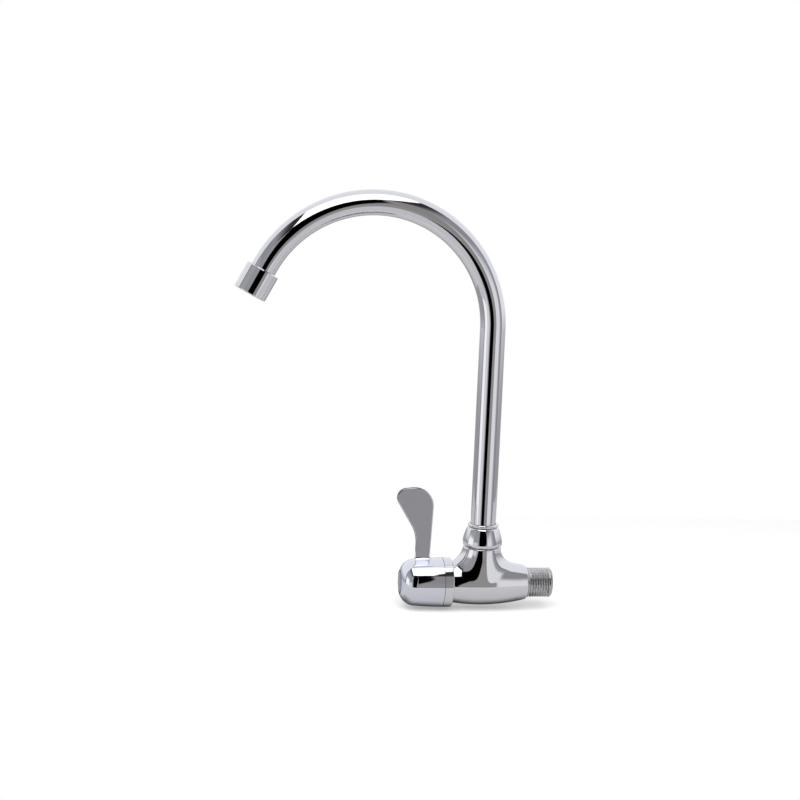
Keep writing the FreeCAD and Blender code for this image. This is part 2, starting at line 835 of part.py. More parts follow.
def lever_handle():
    """Hub and paddle in one casting, hollow behind, with a splined boss and a button recess."""
    body = new_body("lever_handle")
    blade = pad(body, "paddle", paddle_sketch(body), D.paddle_thickness, both_sides=True)
    face = D.paddle_thickness.value / 2

    def on_a_face(edge):
        box = edge.BoundBox
        return box.YLength < TOLERANCE and abs(abs(box.Center.y) - face) < TOLERANCE

    fillet(body, "paddle_round", blade, edges_where(blade, on_a_face), D.paddle_edge_round)

    shell = new_sketch(body, "shell")
    outline(shell, [
        (-HUB_FRONT, 0),
        (-HUB_BACK, 0),
        (-HUB_BACK, SHROUD_RADIUS),
        (D.hub_corner - HUB_FRONT, HUB_FRONT_RADIUS),
        (-HUB_FRONT, HUB_FRONT_RADIUS - D.hub_corner),
    ], arcs={2: (D.hub_crown, False), 3: (D.hub_corner, False)})
    hub = turn(body, "hub", shell)

    def at_root(edge):
        box = edge.BoundBox
        near = box.ZMin > SHROUD_RADIUS.value - D.root_fillet.value
        near = near and box.ZMax < SHROUD_RADIUS.value + TOLERANCE
        return near and max(abs(box.YMin), abs(box.YMax)) < face + TOLERANCE

    fillet(body, "paddle_root", hub, edges_where(hub, at_root), D.root_fillet)

    boss_back = SPLINE_START + D.joint_gap
    hollow = new_sketch(body, "hollow")
    inside = SHROUD_RADIUS - D.hub_wall
    outline(hollow, [
        (CLEAR - HUB_BACK, 0),
        (CLEAR - HUB_BACK, inside),
        (-WEB_BACK, inside),
        (-WEB_BACK, D.boss_radius),
        (-boss_back, D.boss_radius),
        (-boss_back, 0),
    ])
    turn(body, "cavity", hollow, kind="Groove")
    bore = new_sketch(body, "bore")
    socket = D.spline_radius + D.running_gap
    hole = D.screw_radius + D.loose_gap
    outline(bore, [
        (CLEAR - boss_back, 0),
        (CLEAR - boss_back, socket),
        (-SPLINE_END - D.joint_gap, socket),
        (-SPLINE_END - D.joint_gap, hole),
        (-WEB_FRONT, hole),
        (-WEB_FRONT, D.counterbore_radius),
        (-BUTTON_SEAT, D.counterbore_radius),
        (-BUTTON_SEAT, D.button_radius + D.loose_gap),
        (-HUB_FRONT - CLEAR, D.button_radius + D.loose_gap),
        (-HUB_FRONT - CLEAR, 0),
    ])
    turn(body, "bores", bore, kind="Groove")

    tooth = new_sketch(body, "tooth", role="YZ_Plane", out=-SPLINE_END)
    tip = D.spline_radius - D.spline_depth + D.loose_gap
    root = socket + D.loose_gap
    outline(tooth, [(0, tip), (root - tip, root), (tip - root, root)])
    first = pad(body, "spline", tooth, SPLINE_END - boss_back)
    repeat_round(body, "splines", tooth, first, SPLINE_TEETH)


def handle_screw():
    """Pan-head screw with a hexagon socket."""
    body = new_body("handle_screw")
    seat = WEB_FRONT + D.running_gap
    tip = D.screw_reach - SPLINE_END - D.joint_gap
    sketch = new_sketch(body, "outline")
    outline(sketch, [
        (-seat - D.screw_head_height, 0),
        (tip, 0),
        (tip, D.screw_radius),
        (-seat, D.screw_radius),
        (-seat, D.screw_head_radius),
        (-seat - D.screw_head_height / 2, D.screw_head_radius),
        (-seat - D.screw_head_height, D.screw_head_radius / 2),
    ])
    turn(body, "screw", sketch)
    recess = new_sketch(body, "recess", role="YZ_Plane", out=-seat - D.screw_head_height)
    hexagon(recess, D.screw_socket_radius)
    pocket(body, "socket", recess, D.screw_head_height / 2, backwards=True)


def index_button():
    """Crowned cap with a hollow spigot that snaps into the hub."""
    body = new_body("index_button")
    rim = BUTTON_SEAT + D.button_rim
    spigot = D.counterbore_radius - D.loose_gap
    crown = bow_radius(D.button_radius, D.button_crown)
    sketch = new_sketch(body, "outline")
    seat = BUTTON_SEAT + D.running_gap
    outline(sketch, [
        (-rim - D.button_crown, 0),
        (-seat, 0),
        (-seat, spigot - D.button_wall),
        (D.button_spigot - seat, spigot - D.button_wall),
        (D.button_spigot - seat, spigot),
        (-seat, spigot),
        (-seat, D.button_radius),
        (-rim, D.button_radius),
    ], arcs={7: (crown, False)})
    turn(body, "cap", sketch)


def swivel_nut():
    """Conical hexagon nut with a bead, which holds the spout's flange down on the neck."""
    body = new_body("swivel_nut")
    widest = NUT_FOOT + D.nut_widest
    hex_top = NUT_TOP - D.bead_height - D.bead_groove
    base = new_sketch(body, "base", role="XY_Plane", right=-D.spout_depth, out=NUT_FOOT)
    hexagon(base, D.nut_corner_radius, D.nut_turn)
    pad(body, "lower_hexagon", base, D.nut_widest)
    waist = new_sketch(body, "waist", role="XY_Plane", right=-D.spout_depth, out=widest)
    hexagon(waist, D.nut_corner_radius, D.nut_turn)
    upper = pad(body, "upper_hexagon", waist, hex_top - widest)
    bind(upper, "TaperAngle", -D.nut_taper)

    trim = new_sketch(body, "trim", right=-D.spout_depth)
    outside = D.nut_corner_radius + CLEAR
    outline(trim, [
        (D.nut_foot_radius, NUT_FOOT - CLEAR),
        (outside, NUT_FOOT - CLEAR),
        (outside, widest),
        (D.nut_corner_radius, widest),
        (D.nut_foot_radius, NUT_FOOT),
    ])
    turn(body, "foot_chamfer", trim, "V_Axis", kind="Groove")
    crown = new_sketch(body, "crown", right=-D.spout_depth)
    outline(crown, [
        (D.nut_shoulder_radius, hex_top),
        (D.nut_shoulder_radius + D.nut_shoulder_fall, hex_top - D.nut_shoulder_fall),
        (outside, hex_top - D.nut_shoulder_fall),
        (outside, hex_top + CLEAR),
        (D.nut_shoulder_radius, hex_top + CLEAR),
    ])
    turn(body, "shoulder_chamfer", crown, "V_Axis", kind="Groove")

    bead = new_sketch(body, "bead", right=-D.spout_depth)
    inner = D.tube_radius + D.cover_gap
    half = D.bead_height / 2
    outline(bead, [
        (inner, hex_top - D.nut_shoulder_fall),
        (D.bead_radius - half, hex_top - D.nut_shoulder_fall),
        (D.bead_radius - half, NUT_TOP - D.bead_height),
        (D.bead_radius, NUT_TOP - half),
        (D.bead_radius - half, NUT_TOP),
        (inner, NUT_TOP),
    ], arcs={2: (half, False), 3: (half, False)})
    turn(body, "bead_ring", bead, "V_Axis")

    hollow = new_sketch(body, "hollow", right=-D.spout_depth)
    thread = D.spigot_radius + D.loose_gap
    outline(hollow, [
        (0, NUT_FOOT - CLEAR),
        (thread, NUT_FOOT - CLEAR),
        (thread, NUT_LEDGE),
        (inner, NUT_LEDGE),
        (inner, NUT_TOP + CLEAR),
        (0, NUT_TOP + CLEAR),
    ])
    turn(body, "bore", hollow, "V_Axis", kind="Groove")


def spout_joint_rings():
    """Slip washer and split retaining ring between the neck, the spout and the nut."""
    edge = D.spigot_radius - D.loose_gap
    along_spout("slip_washer", edge, D.spout_socket_radius + D.loose_gap, SPIGOT_TOP, FLANGE_FOOT)
    top = RETAINER_FOOT + D.retainer_thickness
    body = along_spout("spout_retaining_ring", edge, D.tube_radius + D.loose_gap, RETAINER_FOOT, top)
    cut = new_sketch(body, "slit", role="XY_Plane", right=-D.spout_depth, out=RETAINER_FOOT)
    rectangle(cut, 0, 2 * D.tube_radius, -D.retainer_slit / 2, D.retainer_slit / 2)
    pocket(body, "opening", cut, D.retainer_thickness, backwards=True)


def spout_tail():
    """Sleeve brazed into the tube's foot: flange, ring grooves and a plain bore."""
    body = new_body("spout_tail")
    plug = D.spout_socket_radius - D.loose_gap
    floor = D.spout_socket_radius - D.ring_section - 2 * D.running_gap
    half = D.ring_section / 2 + D.loose_gap
    braze = D.tube_radius - D.tube_wall - D.running_gap
    foot = SPIGOT_TOP - D.tail_spigot_length
    corners = [(D.tail_bore_radius, foot), (plug, foot)]
    for middle in (LOWER_RING, UPPER_RING):
        low, high = middle - half, middle + half
        corners += [(plug, low), (floor, low), (floor, high), (plug, high)]
    corners += [
        (plug, FLANGE_FOOT + D.running_gap),
        (D.spigot_radius - D.loose_gap, FLANGE_FOOT + D.running_gap),
        (D.spigot_radius - D.loose_gap, TUBE_FOOT),
        (braze, TUBE_FOOT),
        (braze, TUBE_FOOT + D.braze_length),
        (D.tail_bore_radius, TUBE_FOOT + D.braze_length),
    ]
    sketch = new_sketch(body, "outline", right=-D.spout_depth)
    outline(sketch, corners)
    turn(body, "sleeve", sketch, "V_Axis")


def spout_seals():
    centre = D.spout_socket_radius - D.running_gap - D.ring_section / 2
    seal_pair("spout_o_rings", D.ring_section, centre, LOWER_RING, UPPER_RING, 0,
              lambda height: (-D.spout_depth, 0, height))


def spout_tube():
    """Bent tube: a straight limb, the gooseneck bend and the straight outlet end."""
    body = new_body("spout_tube")
    profile = new_sketch(body, "section", role="XY_Plane", right=-D.spout_depth, out=TUBE_FOOT)
    circle(profile, 0, 0, D.tube_radius)
    circle(profile, 0, 0, D.tube_radius - D.tube_wall)
    route = new_sketch(body, "route")
    sideways, upwards = OUTLET_DIRECTION
    tip = (BEND_END[0] + D.outlet_straight * sideways, BEND_END[1] + D.outlet_straight * upwards)
    foot, bend = (-D.spout_depth, TUBE_FOOT), (-D.spout_depth, D.limb_top)
    centre = vector(-D.spout_depth - D.bend_radius, D.limb_top)
    route.addGeometry(Part.LineSegment(vector(*foot), vector(*bend)), False)
    ring = Part.Circle(centre, FreeCAD.Vector(0, 0, 1), D.bend_radius.value)
    route.addGeometry(Part.ArcOfCircle(ring, 0, math.radians(D.bend_angle.value)), False)
    route.addGeometry(Part.LineSegment(vector(*BEND_END), vector(*tip)), False)
    route.addConstraint(Sketcher.Constraint("Coincident", 0, 2, 1, 1))
    route.addConstraint(Sketcher.Constraint("Coincident", 1, 2, 2, 1))
    fix_point(route, (0, 1), *foot)
    fix_point(route, (0, 2), *bend)
    hold(route, "Radius", (1,), D.bend_radius)
    fix_point(route, (1, 2), *BEND_END)
    fix_point(route, (2, 2), *tip)
    pipe = feature(body, "AdditivePipe", "pipe", profile)
    pipe.Spine = (route, [])


def outlet_body(name):
    """Body whose own Z axis runs out of the outlet, from the end of the bend."""
    body = new_body(name)
    body.Placement = FreeCAD.Placement(vector(0, 0, 0), FreeCAD.Rotation(FreeCAD.Vector(0, -1, 0), 1))
    bind(body, ".Placement.Rotation.Angle", D.bend_angle)
    bind(body, ".Placement.Base.x", BEND_END[0])
    bind(body, ".Placement.Base.z", BEND_END[1])
    return body


def outlet_ring(name, corners, arcs=None):
    body = outlet_body(name)
    sketch = new_sketch(body, "outline")
    outline(sketch, corners, arcs)
    turn(body, "ring", sketch, "V_Axis")
    return body


def outlet_fittings():
    """Threaded nipple on the tube and the washer above the flow straightener."""
    thread = HOUSING_BORE - D.loose_gap
    sleeve = D.tube_radius + D.running_gap
    outlet_ring("outlet_nipple", [
        (sleeve, NIPPLE_TOP),
        (thread, NIPPLE_TOP),
        (thread, NIPPLE_END),
        (D.tube_radius - D.tube_wall, NIPPLE_END),
        (D.tube_radius - D.tube_wall, D.outlet_straight),
        (sleeve, D.outlet_straight),
    ])
    washer = NIPPLE_END + D.running_gap
    outlet_ring("aerator_washer", [
        (D.tube_radius - D.tube_wall, washer),
        (thread, washer),
        (thread, WASHER_END),
        (D.tube_radius - D.tube_wall, WASHER_END),
    ])


def aerator_housing():
    """Chromed sleeve screwed on the nipple, with an open mouth at the outlet."""
    neck = D.tube_radius + D.cover_gap
    outlet_ring("aerator_housing", [
        (neck, D.housing_start),
        (D.housing_radius - D.housing_chamfer, D.housing_start),
        (D.housing_radius, D.housing_start + D.housing_chamfer / 2),
        (D.housing_radius, HOUSING_END - D.housing_round),
        (D.housing_radius - D.housing_round, HOUSING_END),
        (D.outlet_mouth_radius, HOUSING_END),
        (D.outlet_mouth_radius, SCREEN_END),
        (HOUSING_BORE, SCREEN_END),
        (HOUSING_BORE, D.housing_start + D.housing_lip),
        (neck, D.housing_start + D.housing_lip),
    ], arcs={3: (D.housing_round, False)})


def ring_of_holes(body, number, face, radius, holes, hole_radius, depth):
    """Holes spaced evenly on a circle through a disc."""
    sketch = new_sketch(body, "hole_%d" % number, role="XY_Plane", out=face)
    circle(sketch, radius, 0, hole_radius)
    first = pocket(body, "drilling_%d" % number, sketch, depth, backwards=True)
    repeat_round(body, "holes_%d" % number, sketch, first, holes)


def aerator_insert():
    """Flow straightener: a rim with a drilled plate across its upper end."""
    body = outlet_ring("aerator_insert", [
        (0, WASHER_END),
        (HOUSING_BORE - D.loose_gap, WASHER_END),
        (HOUSING_BORE - D.loose_gap, INSERT_END),
        (HOUSING_BORE - D.insert_rim, INSERT_END),
        (HOUSING_BORE - D.insert_rim, WASHER_END + D.insert_plate),
        (0, WASHER_END + D.insert_plate),
    ])
    for number in INSERT_RINGS:
        ring_of_holes(body, number, WASHER_END, number * D.insert_pitch, HEX_SIDES * number,
                      D.insert_hole_radius, D.insert_plate)


def aerator_screen():
    """Round perforated screen held between the insert and the housing's lip."""
    body = outlet_ring("aerator_screen", [
        (0, INSERT_END),
        (HOUSING_BORE - D.loose_gap, INSERT_END),
        (HOUSING_BORE - D.loose_gap, SCREEN_END),
        (0, SCREEN_END),
    ])
    for number in SCREEN_RINGS:
        ring_of_holes(body, number, INSERT_END, number * D.screen_pitch, HEX_SIDES * number,
                      D.screen_hole_radius, D.screen_thickness)


def check_and_write():
    """Refuses failed or empty shapes, then writes one STEP file for each piece."""
    doc.recompute()
    for item in doc.Objects:
        if "Invalid" in item.State or "Error" in item.State:
            raise RuntimeError("%s failed: %s" % (item.Name, item.State))
    pieces = [item for item in doc.Objects if item.Name in NODES]
    for piece in pieces:
        if piece.Shape.isNull() or not piece.Shape.isValid():
            raise RuntimeError("%s has no valid shape" % piece.Label)
        solids = len(piece.Shape.Solids)
        if solids != (2 if piece.Name in RING_PAIRS else 1):
            raise RuntimeError("%s has %d solids" % (piece.Label, solids))
    os.makedirs("parts", exist_ok=True)
    for piece in pieces:
        piece.Shape.exportStep("parts/%s.step" % piece.Label)
        print("%-22s %9.1f mm3" % (piece.Label, piece.Shape.Volume))


def main():
    tap_body()
    shroud_ring()
    headwork_body()
    headwork_rings()
    ceramic_discs()
    spindle()
    spindle_seals()
    spindle_circlip()
    lever_handle()
    handle_screw()
    index_button()
    swivel_nut()
    spout_joint_rings()
    spout_tail()
    spout_seals()
    spout_tube()
    outlet_fittings()
    aerator_housing()
    aerator_insert()
    aerator_screen()
    check_and_write()


main()
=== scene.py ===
"""Looks of a wall-mounted kitchen tap with a swivelling gooseneck spout.

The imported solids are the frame; this script gives them their finishes, adds the finer
pieces, and sets up the floor, the light tent and the camera.
"""

from __future__ import annotations

import logging
import math
from dataclasses import dataclass, field
from enum import Enum

import bpy
import bmesh
import numpy as np
from bmesh.types import BMesh
from bpy.types import Material, Node, NodeSocket, NodeTree, Object
from mathutils import Matrix, Vector

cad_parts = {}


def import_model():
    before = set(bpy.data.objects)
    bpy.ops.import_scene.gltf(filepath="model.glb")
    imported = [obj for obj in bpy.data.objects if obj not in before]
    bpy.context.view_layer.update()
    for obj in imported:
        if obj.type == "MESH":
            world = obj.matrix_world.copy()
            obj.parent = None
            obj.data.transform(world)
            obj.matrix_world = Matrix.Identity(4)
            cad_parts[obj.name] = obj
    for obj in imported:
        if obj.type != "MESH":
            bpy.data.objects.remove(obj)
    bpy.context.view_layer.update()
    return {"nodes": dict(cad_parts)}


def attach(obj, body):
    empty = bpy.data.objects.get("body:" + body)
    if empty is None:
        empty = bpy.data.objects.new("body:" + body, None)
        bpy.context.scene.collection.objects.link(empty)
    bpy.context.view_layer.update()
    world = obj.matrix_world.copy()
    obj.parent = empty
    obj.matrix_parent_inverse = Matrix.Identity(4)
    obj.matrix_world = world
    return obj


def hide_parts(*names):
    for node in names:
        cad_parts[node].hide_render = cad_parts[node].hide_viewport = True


LOG = logging.getLogger("wall_tap")
MM = 0.001
IMAGE_WIDTH = 800
MERGE = 1e-7

Colour = tuple[float, float, float, float]
Span = tuple[float, float]


class Body(str, Enum):
    """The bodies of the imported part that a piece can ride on."""

    TAP = "tap"
    HANDLE = "handle"
    SPOUT = "spout"


@dataclass(frozen=True)
class View:
    """Camera that looks at the tap as the photographer did.

    Attributes:
        azimuth: Turn of the camera from straight in front, in degrees.
        elevation: Height of the camera above the horizon, in degrees.
        roll: Turn of the picture, in degrees.
        distance: From the target to the lens, in metres.
        focal_pixels: Focal length in pixels of the 800 pixel wide picture.
        target: Point in the middle of the picture, in metres.
        sensor: Width of the sensor, in millimetres.
        clip: Nearest and farthest distance that is drawn, in metres.
    """

    azimuth: float = -9.83
    elevation: float = 9.17
    roll: float = -2.45
    distance: float = 1.5
    focal_pixels: float = 2147.69
    target: tuple[float, float, float] = (-0.09665, 0.0, 0.13068)
    sensor: float = 36.0
    clip: Span = (0.05, 20.0)

    def build(self) -> Object:
        """Adds the camera and makes it the scene's own.

        Returns:
            The camera object.
        """
        turn, lift, roll = (math.radians(v) for v in (self.azimuth, self.elevation, self.roll))
        back = Vector((math.sin(turn) * math.cos(lift), -math.cos(turn) * math.cos(lift), math.sin(lift)))
        level = Vector((math.cos(turn), math.sin(turn), 0.0))
        upright = back.cross(level)
        right = level * math.cos(roll) - upright * math.sin(roll)
        up = upright * math.cos(roll) + level * math.sin(roll)
        lens = bpy.data.cameras.new("camera")
        lens.sensor_width = self.sensor
        lens.lens = self.focal_pixels * self.sensor / IMAGE_WIDTH
        lens.clip_start, lens.clip_end = self.clip
        camera = bpy.data.objects.new("camera", lens)
        place = Matrix((right, up, back)).transposed().to_4x4()
        place.translation = Vector(self.target) + back * self.distance
        camera.matrix_world = place
        bpy.context.scene.collection.objects.link(camera)
        bpy.context.scene.camera = camera
        return camera


class NodeSheet:
    """Small helper that adds and joins shader nodes of one tree."""

    def __init__(self, tree: NodeTree) -> None:
        """Starts on an emptied tree."""
        self.tree = tree
        tree.nodes.clear()

    def add(self, kind: str, **settings: object) -> Node:
        """Adds a node.

        Args:
            kind: Node type without its ShaderNode prefix.
            settings: Properties of the node.

        Returns:
            The new node.
        """
        node = self.tree.nodes.new("ShaderNode" + kind)
        for name, value in settings.items():
            setattr(node, name, value)
        return node

    def put(self, socket: NodeSocket, value: object) -> None:
        """Gives a socket a plain value, or a link where the value is a socket."""
        if isinstance(value, NodeSocket):
            self.tree.links.new(value, socket)
        else:
            socket.default_value = value

    def math(self, operation: str, *values: object) -> NodeSocket:
        """Returns the result socket of a Math node over one to three values."""
        node = self.add("Math", operation=operation)
        for socket, value in zip(node.inputs, values):
            self.put(socket, value)
        return node.outputs[0]

    def ramp(self, value: object, low: float, high: float, start: object = 0.0,
             end: object = 1.0) -> NodeSocket:
        """Smooth change from start to end while value goes from low to high.

        Args:
            value: Number or socket that is read.
            low: Where the change begins.
            high: Where the change ends.
            start: Result before the change.
            end: Result after the change.

        Returns:
            The result socket.
        """
        node = self.add("MapRange", interpolation_type="SMOOTHSTEP")
        for name, given in (("Value", value), ("From Min", low), ("From Max", high),
                            ("To Min", start), ("To Max", end)):
            self.put(node.inputs[name], given)
        return node.outputs[0]

    def mix(self, factor: object, first: object, second: object) -> NodeSocket:
        """Returns the colour between first and second by factor."""
        node = self.add("Mix", data_type="RGBA")
        self.put(node.inputs["Factor"], factor)
        self.put(node.inputs["A"], first)
        self.put(node.inputs["B"], second)
        return node.outputs["Result"]

    def times(self, *values: object) -> NodeSocket:
        """Returns the product of two or more values."""
        product = values[0]
        for value in values[1:]:
            product = self.math("MULTIPLY", product, value)
        return product

    def band(self, value: object, rise: Span, fall: Span) -> NodeSocket:
        """Returns 1 between rise and fall, 0 outside them, and a smooth change over each."""
        return self.times(self.ramp(value, *rise), self.ramp(value, *fall, 1.0, 0.0))

    def split(self, vector: NodeSocket) -> bpy.types.bpy_prop_collection:
        """Returns the X, Y and Z sockets of a vector."""
        node = self.add("SeparateXYZ")
        self.put(node.inputs[0], vector)
        return node.outputs

    def show(self, shader: Node, output: str = "OutputMaterial") -> None:
        """Joins a shader to the tree's output."""
        self.put(self.add(output).inputs["Surface"], shader.outputs[0])


def new_material(name: str) -> tuple[Material, NodeSheet]:
    """Returns a new material and its empty sheet of nodes."""
    material = bpy.data.materials.new(name)
    material.use_nodes = True
    return material, NodeSheet(material.node_tree)


def grey(level: float, warm: float = 0.0) -> Colour:
    """A grey of that level; warm above nought leans to yellow and below it to blue."""
    return (level * (1.0 + warm), level, level * (1.0 - warm), 1.0)


def darker(colour: Colour, share: float) -> Colour:
    """A colour taken down by a share."""
    return (colour[0] * (1 - share), colour[1] * (1 - share), colour[2] * (1 - share), 1.0)


@dataclass
class TentPlace:
    """Sockets that tell where a point of the tent lies.

    Attributes:
        sheet: The tent's nodes.
        u: Place to the camera's right, in metres.
        v: Place towards the camera.
        z: Height.
        on_front: 1 on the front wall.
        on_roof: 1 on the roof.
    """

    sheet: NodeSheet
    u: NodeSocket
    v: NodeSocket
    z: NodeSocket
    on_front: NodeSocket
    on_roof: NodeSocket


@dataclass
class Tent:
    """Light tent round the tap, seen only in its polished faces.

    Places are in metres: u to the camera's right, v towards the camera and z upwards.
    The rear half is white cloth. The front half has grey sides, a bright strip in its
    roof, and a dark gap for the camera. A name with fade, rise or fall gives where a
    change of tone begins and ends, and a colour is named after the part that it is on.

    Attributes:
        centre: Middle of the tent in the part's frame.
        half_width: From the middle to either side wall.
        front, rear: From the middle to the front and the rear wall.
        roof, under: Height of the roof and of the tent's floor.
        table: Height where the pale table begins, on the walls.
        soft: Half the width of a plain change of tone.
        seam, seam_line: Where the white rear cloth begins, and the middle of the shade along it.
        seam_share: Strength of that shade.
        middle, roof_middle: Where the left half gives way to the right, on walls and roof.
        strip_left, strip_right, strip_end: Edges of the roof's bright strip.
        strip_lean: How much its right edge leans for each metre towards the camera.
        gap_left, gap_right: Two heights, and where the gap's edge lies at each.
        strip_soft, gap_soft: Half the width of the soft edge of the strip and of the gap.
    """

    centre: tuple[float, float] = (-0.06, 0.0)
    half_width: float = 0.75
    front: float = 0.70
    rear: float = 0.90
    roof: float = 0.60
    under: float = -0.45
    table: float = -0.175
    soft: float = 0.01

    seam: float = 0.06
    seam_line: float = 0.09
    seam_fade: Span = (0.01, 0.07)
    seam_share: float = 0.8
    seam_roof_fade: Span = (0.0, 0.1)
    seam_shadow: Colour = grey(0.22)
    white: Colour = grey(1.22, -0.02)
    rear_low: Colour = grey(0.50, -0.02)
    rear_fade: Span = (-0.05, 0.22)
    cloth: Colour = grey(0.86, -0.02)

    middle: Span = (-0.05, 0.05)
    left_grey: Colour = grey(0.75, -0.01)
    left_top: Colour = grey(0.55, -0.03)
    left_top_fade: Span = (0.26, 0.40)
    left_panel: Colour = grey(1.50, -0.01)
    panel_rise: Span = (0.16, 0.22)
    panel_fall: Span = (0.58, 0.66)
    panel_top_fade: Span = (0.22, 0.36)
    left_low: Colour = grey(1.05, -0.01)
    left_high: Colour = grey(0.48, -0.02)
    left_low_fade: Span = (0.05, 0.20)
    left_side_fade: Span = (-0.48, -0.30)
    right_light: Colour = grey(1.14, -0.01)
    right_pale: Colour = grey(0.48, -0.04)
    right_fade: Span = (0.20, 0.60)
    right_front_fade: Span = (0.25, 0.45)

    roof_middle: Span = (-0.1, 0.1)
    roof_left: Colour = grey(0.44, -0.02)
    roof_right: Colour = grey(0.42, -0.03)
    flank: Colour = grey(0.04)
    flank_fade: Span = (-0.24, -0.04)
    strip: Colour = grey(2.3, -0.01)
    strip_left: float = -0.29
    strip_right: float = 0.17
    strip_lean: float = 0.04
    strip_end: float = 0.60
    strip_soft: float = 0.008

    olive: Colour = grey(0.38, 0.05)
    board_grey: Colour = grey(0.425, 0.035)
    board_fade: Span = (0.0, 0.22)
    board_rise: Span = (-0.28, -0.26)
    board_fall: Span = (0.41, 0.45)
    gap: Colour = grey(0.0)
    gap_left: tuple[float, float, float, float] = (-0.15, 0.30, -0.25, -0.28)
    gap_right: tuple[float, float, float, float] = (-0.14, 0.40, 0.085, 0.205)
    gap_soft: float = 0.012

    def shade(self) -> Material:
        """Makes the glow of the tent's cloth.

        Returns:
            The material of all six walls.
        """
        material, sheet = new_material("tent_glow")
        u, v, z = sheet.split(sheet.add("TexCoord").outputs["Object"])
        on_front = sheet.ramp(v, self.front - 2 * self.soft, self.front - self.soft)
        on_roof = sheet.ramp(z, self.roof - 2 * self.soft, self.roof - self.soft)
        at = TentPlace(sheet, u, v, z, on_front, on_roof)
        colour = self.walls(at)
        for add_part in (self.ceiling, self.camera_gap, self.rear_and_table):
            colour = add_part(at, colour)
        glow = sheet.add("Emission")
        sheet.put(glow.inputs["Color"], colour)
        sheet.show(glow)
        return material

    def walls(self, at: TentPlace) -> NodeSocket:
        """Colours the side walls and the front wall beside the gap.

        Args:
            at: Where the point lies.

        Returns:
            The colour.
        """
        sheet = at.sheet
        left_front = sheet.mix(sheet.ramp(at.z, *self.left_low_fade, 1.0, 0.0), self.left_high, self.left_low)
        left_front = sheet.mix(sheet.ramp(at.u, *self.left_side_fade), left_front, self.left_high)
        panel = sheet.times(sheet.band(at.v, self.panel_rise, self.panel_fall),
                            sheet.ramp(at.z, *self.panel_top_fade, 1.0, 0.0))
        left = sheet.mix(sheet.ramp(at.z, *self.left_top_fade), self.left_grey, self.left_top)
        left = sheet.mix(panel, left, self.left_panel)
        left = sheet.mix(at.on_front, left, left_front)
        right = sheet.mix(sheet.ramp(at.z, *self.right_fade), self.right_light, self.right_pale)
        right_side = sheet.mix(sheet.ramp(at.v, *self.right_front_fade, 1.0, 0.0), right, self.right_pale)
        right = sheet.mix(at.on_front, right_side, right)
        return sheet.mix(sheet.ramp(at.u, *self.middle), left, right)

    def ceiling(self, at: TentPlace, colour: NodeSocket) -> NodeSocket:
        """Adds the roof's bright strip between its dark flanks.

        Args:
            at: Where the point lies.
            colour: Colour so far.

        Returns:
            The colour.
        """
        sheet = at.sheet
        sides = sheet.mix(sheet.ramp(at.u, *self.roof_middle), self.roof_left, self.roof_right)
        colour = sheet.mix(at.on_roof, colour, sides)
        right_edge = sheet.math("MULTIPLY_ADD", at.v, self.strip_lean, self.strip_right)
        inside = sheet.math("MINIMUM", sheet.math("SUBTRACT", at.u, self.strip_left),
                            sheet.math("SUBTRACT", right_edge, at.u))
        flank = sheet.times(sheet.ramp(inside, *self.flank_fade), at.on_roof)
        colour = sheet.mix(flank, colour, self.flank)
        strip = sheet.times(
            sheet.ramp(inside, -self.strip_soft, self.strip_soft), at.on_roof,
            sheet.ramp(at.v, self.strip_end - 2 * self.soft, self.strip_end + 2 * self.soft, 1.0, 0.0))
        return sheet.mix(strip, colour, self.strip)

    def camera_gap(self, at: TentPlace, colour: NodeSocket) -> NodeSocket:
        """Adds the board on the front wall and the dark gap for the camera.

        Args:
            at: Where the point lies.
            colour: Colour so far.

        Returns:
            The colour.
        """
        sheet = at.sheet
        board = sheet.mix(sheet.ramp(at.z, *self.board_fade), self.board_grey, self.olive)
        over = sheet.times(sheet.band(at.u, self.board_rise, self.board_fall), at.on_front)
        colour = sheet.mix(over, colour, board)
        inside = sheet.math("MINIMUM", sheet.math("SUBTRACT", at.u, sheet.ramp(at.z, *self.gap_left)),
                            sheet.math("SUBTRACT", sheet.ramp(at.z, *self.gap_right), at.u))
        gap = sheet.times(sheet.ramp(inside, -self.gap_soft, self.gap_soft), at.on_front)
        return sheet.mix(gap, colour, self.gap)

    def rear_and_table(self, at: TentPlace, colour: NodeSocket) -> NodeSocket:
        """Adds the white rear cloth with its shaded seam, and the table below.

        Args:
            at: Where the point lies.
            colour: Colour so far.

        Returns:
            The colour.
        """
        sheet = at.sheet
        rear = sheet.ramp(at.v, self.seam - self.soft, self.seam + self.soft, 1.0, 0.0)
        from_line = sheet.math("ABSOLUTE", sheet.math("SUBTRACT", at.v, self.seam_line))
        line = sheet.times(sheet.ramp(from_line, *self.seam_fade, self.seam_share, 0.0),
                           sheet.ramp(at.on_roof, *self.seam_roof_fade, 1.0, 0.0))
        colour = sheet.mix(line, colour, self.seam_shadow)
        rear_white = sheet.mix(sheet.ramp(at.z, *self.rear_fade), self.rear_low, self.white)
        colour = sheet.mix(rear, colour, rear_white)
        below = sheet.ramp(at.z, self.table - self.soft, self.table + self.soft, 1.0, 0.0)
        return sheet.mix(below, colour, sheet.mix(rear, self.cloth, self.rear_low))

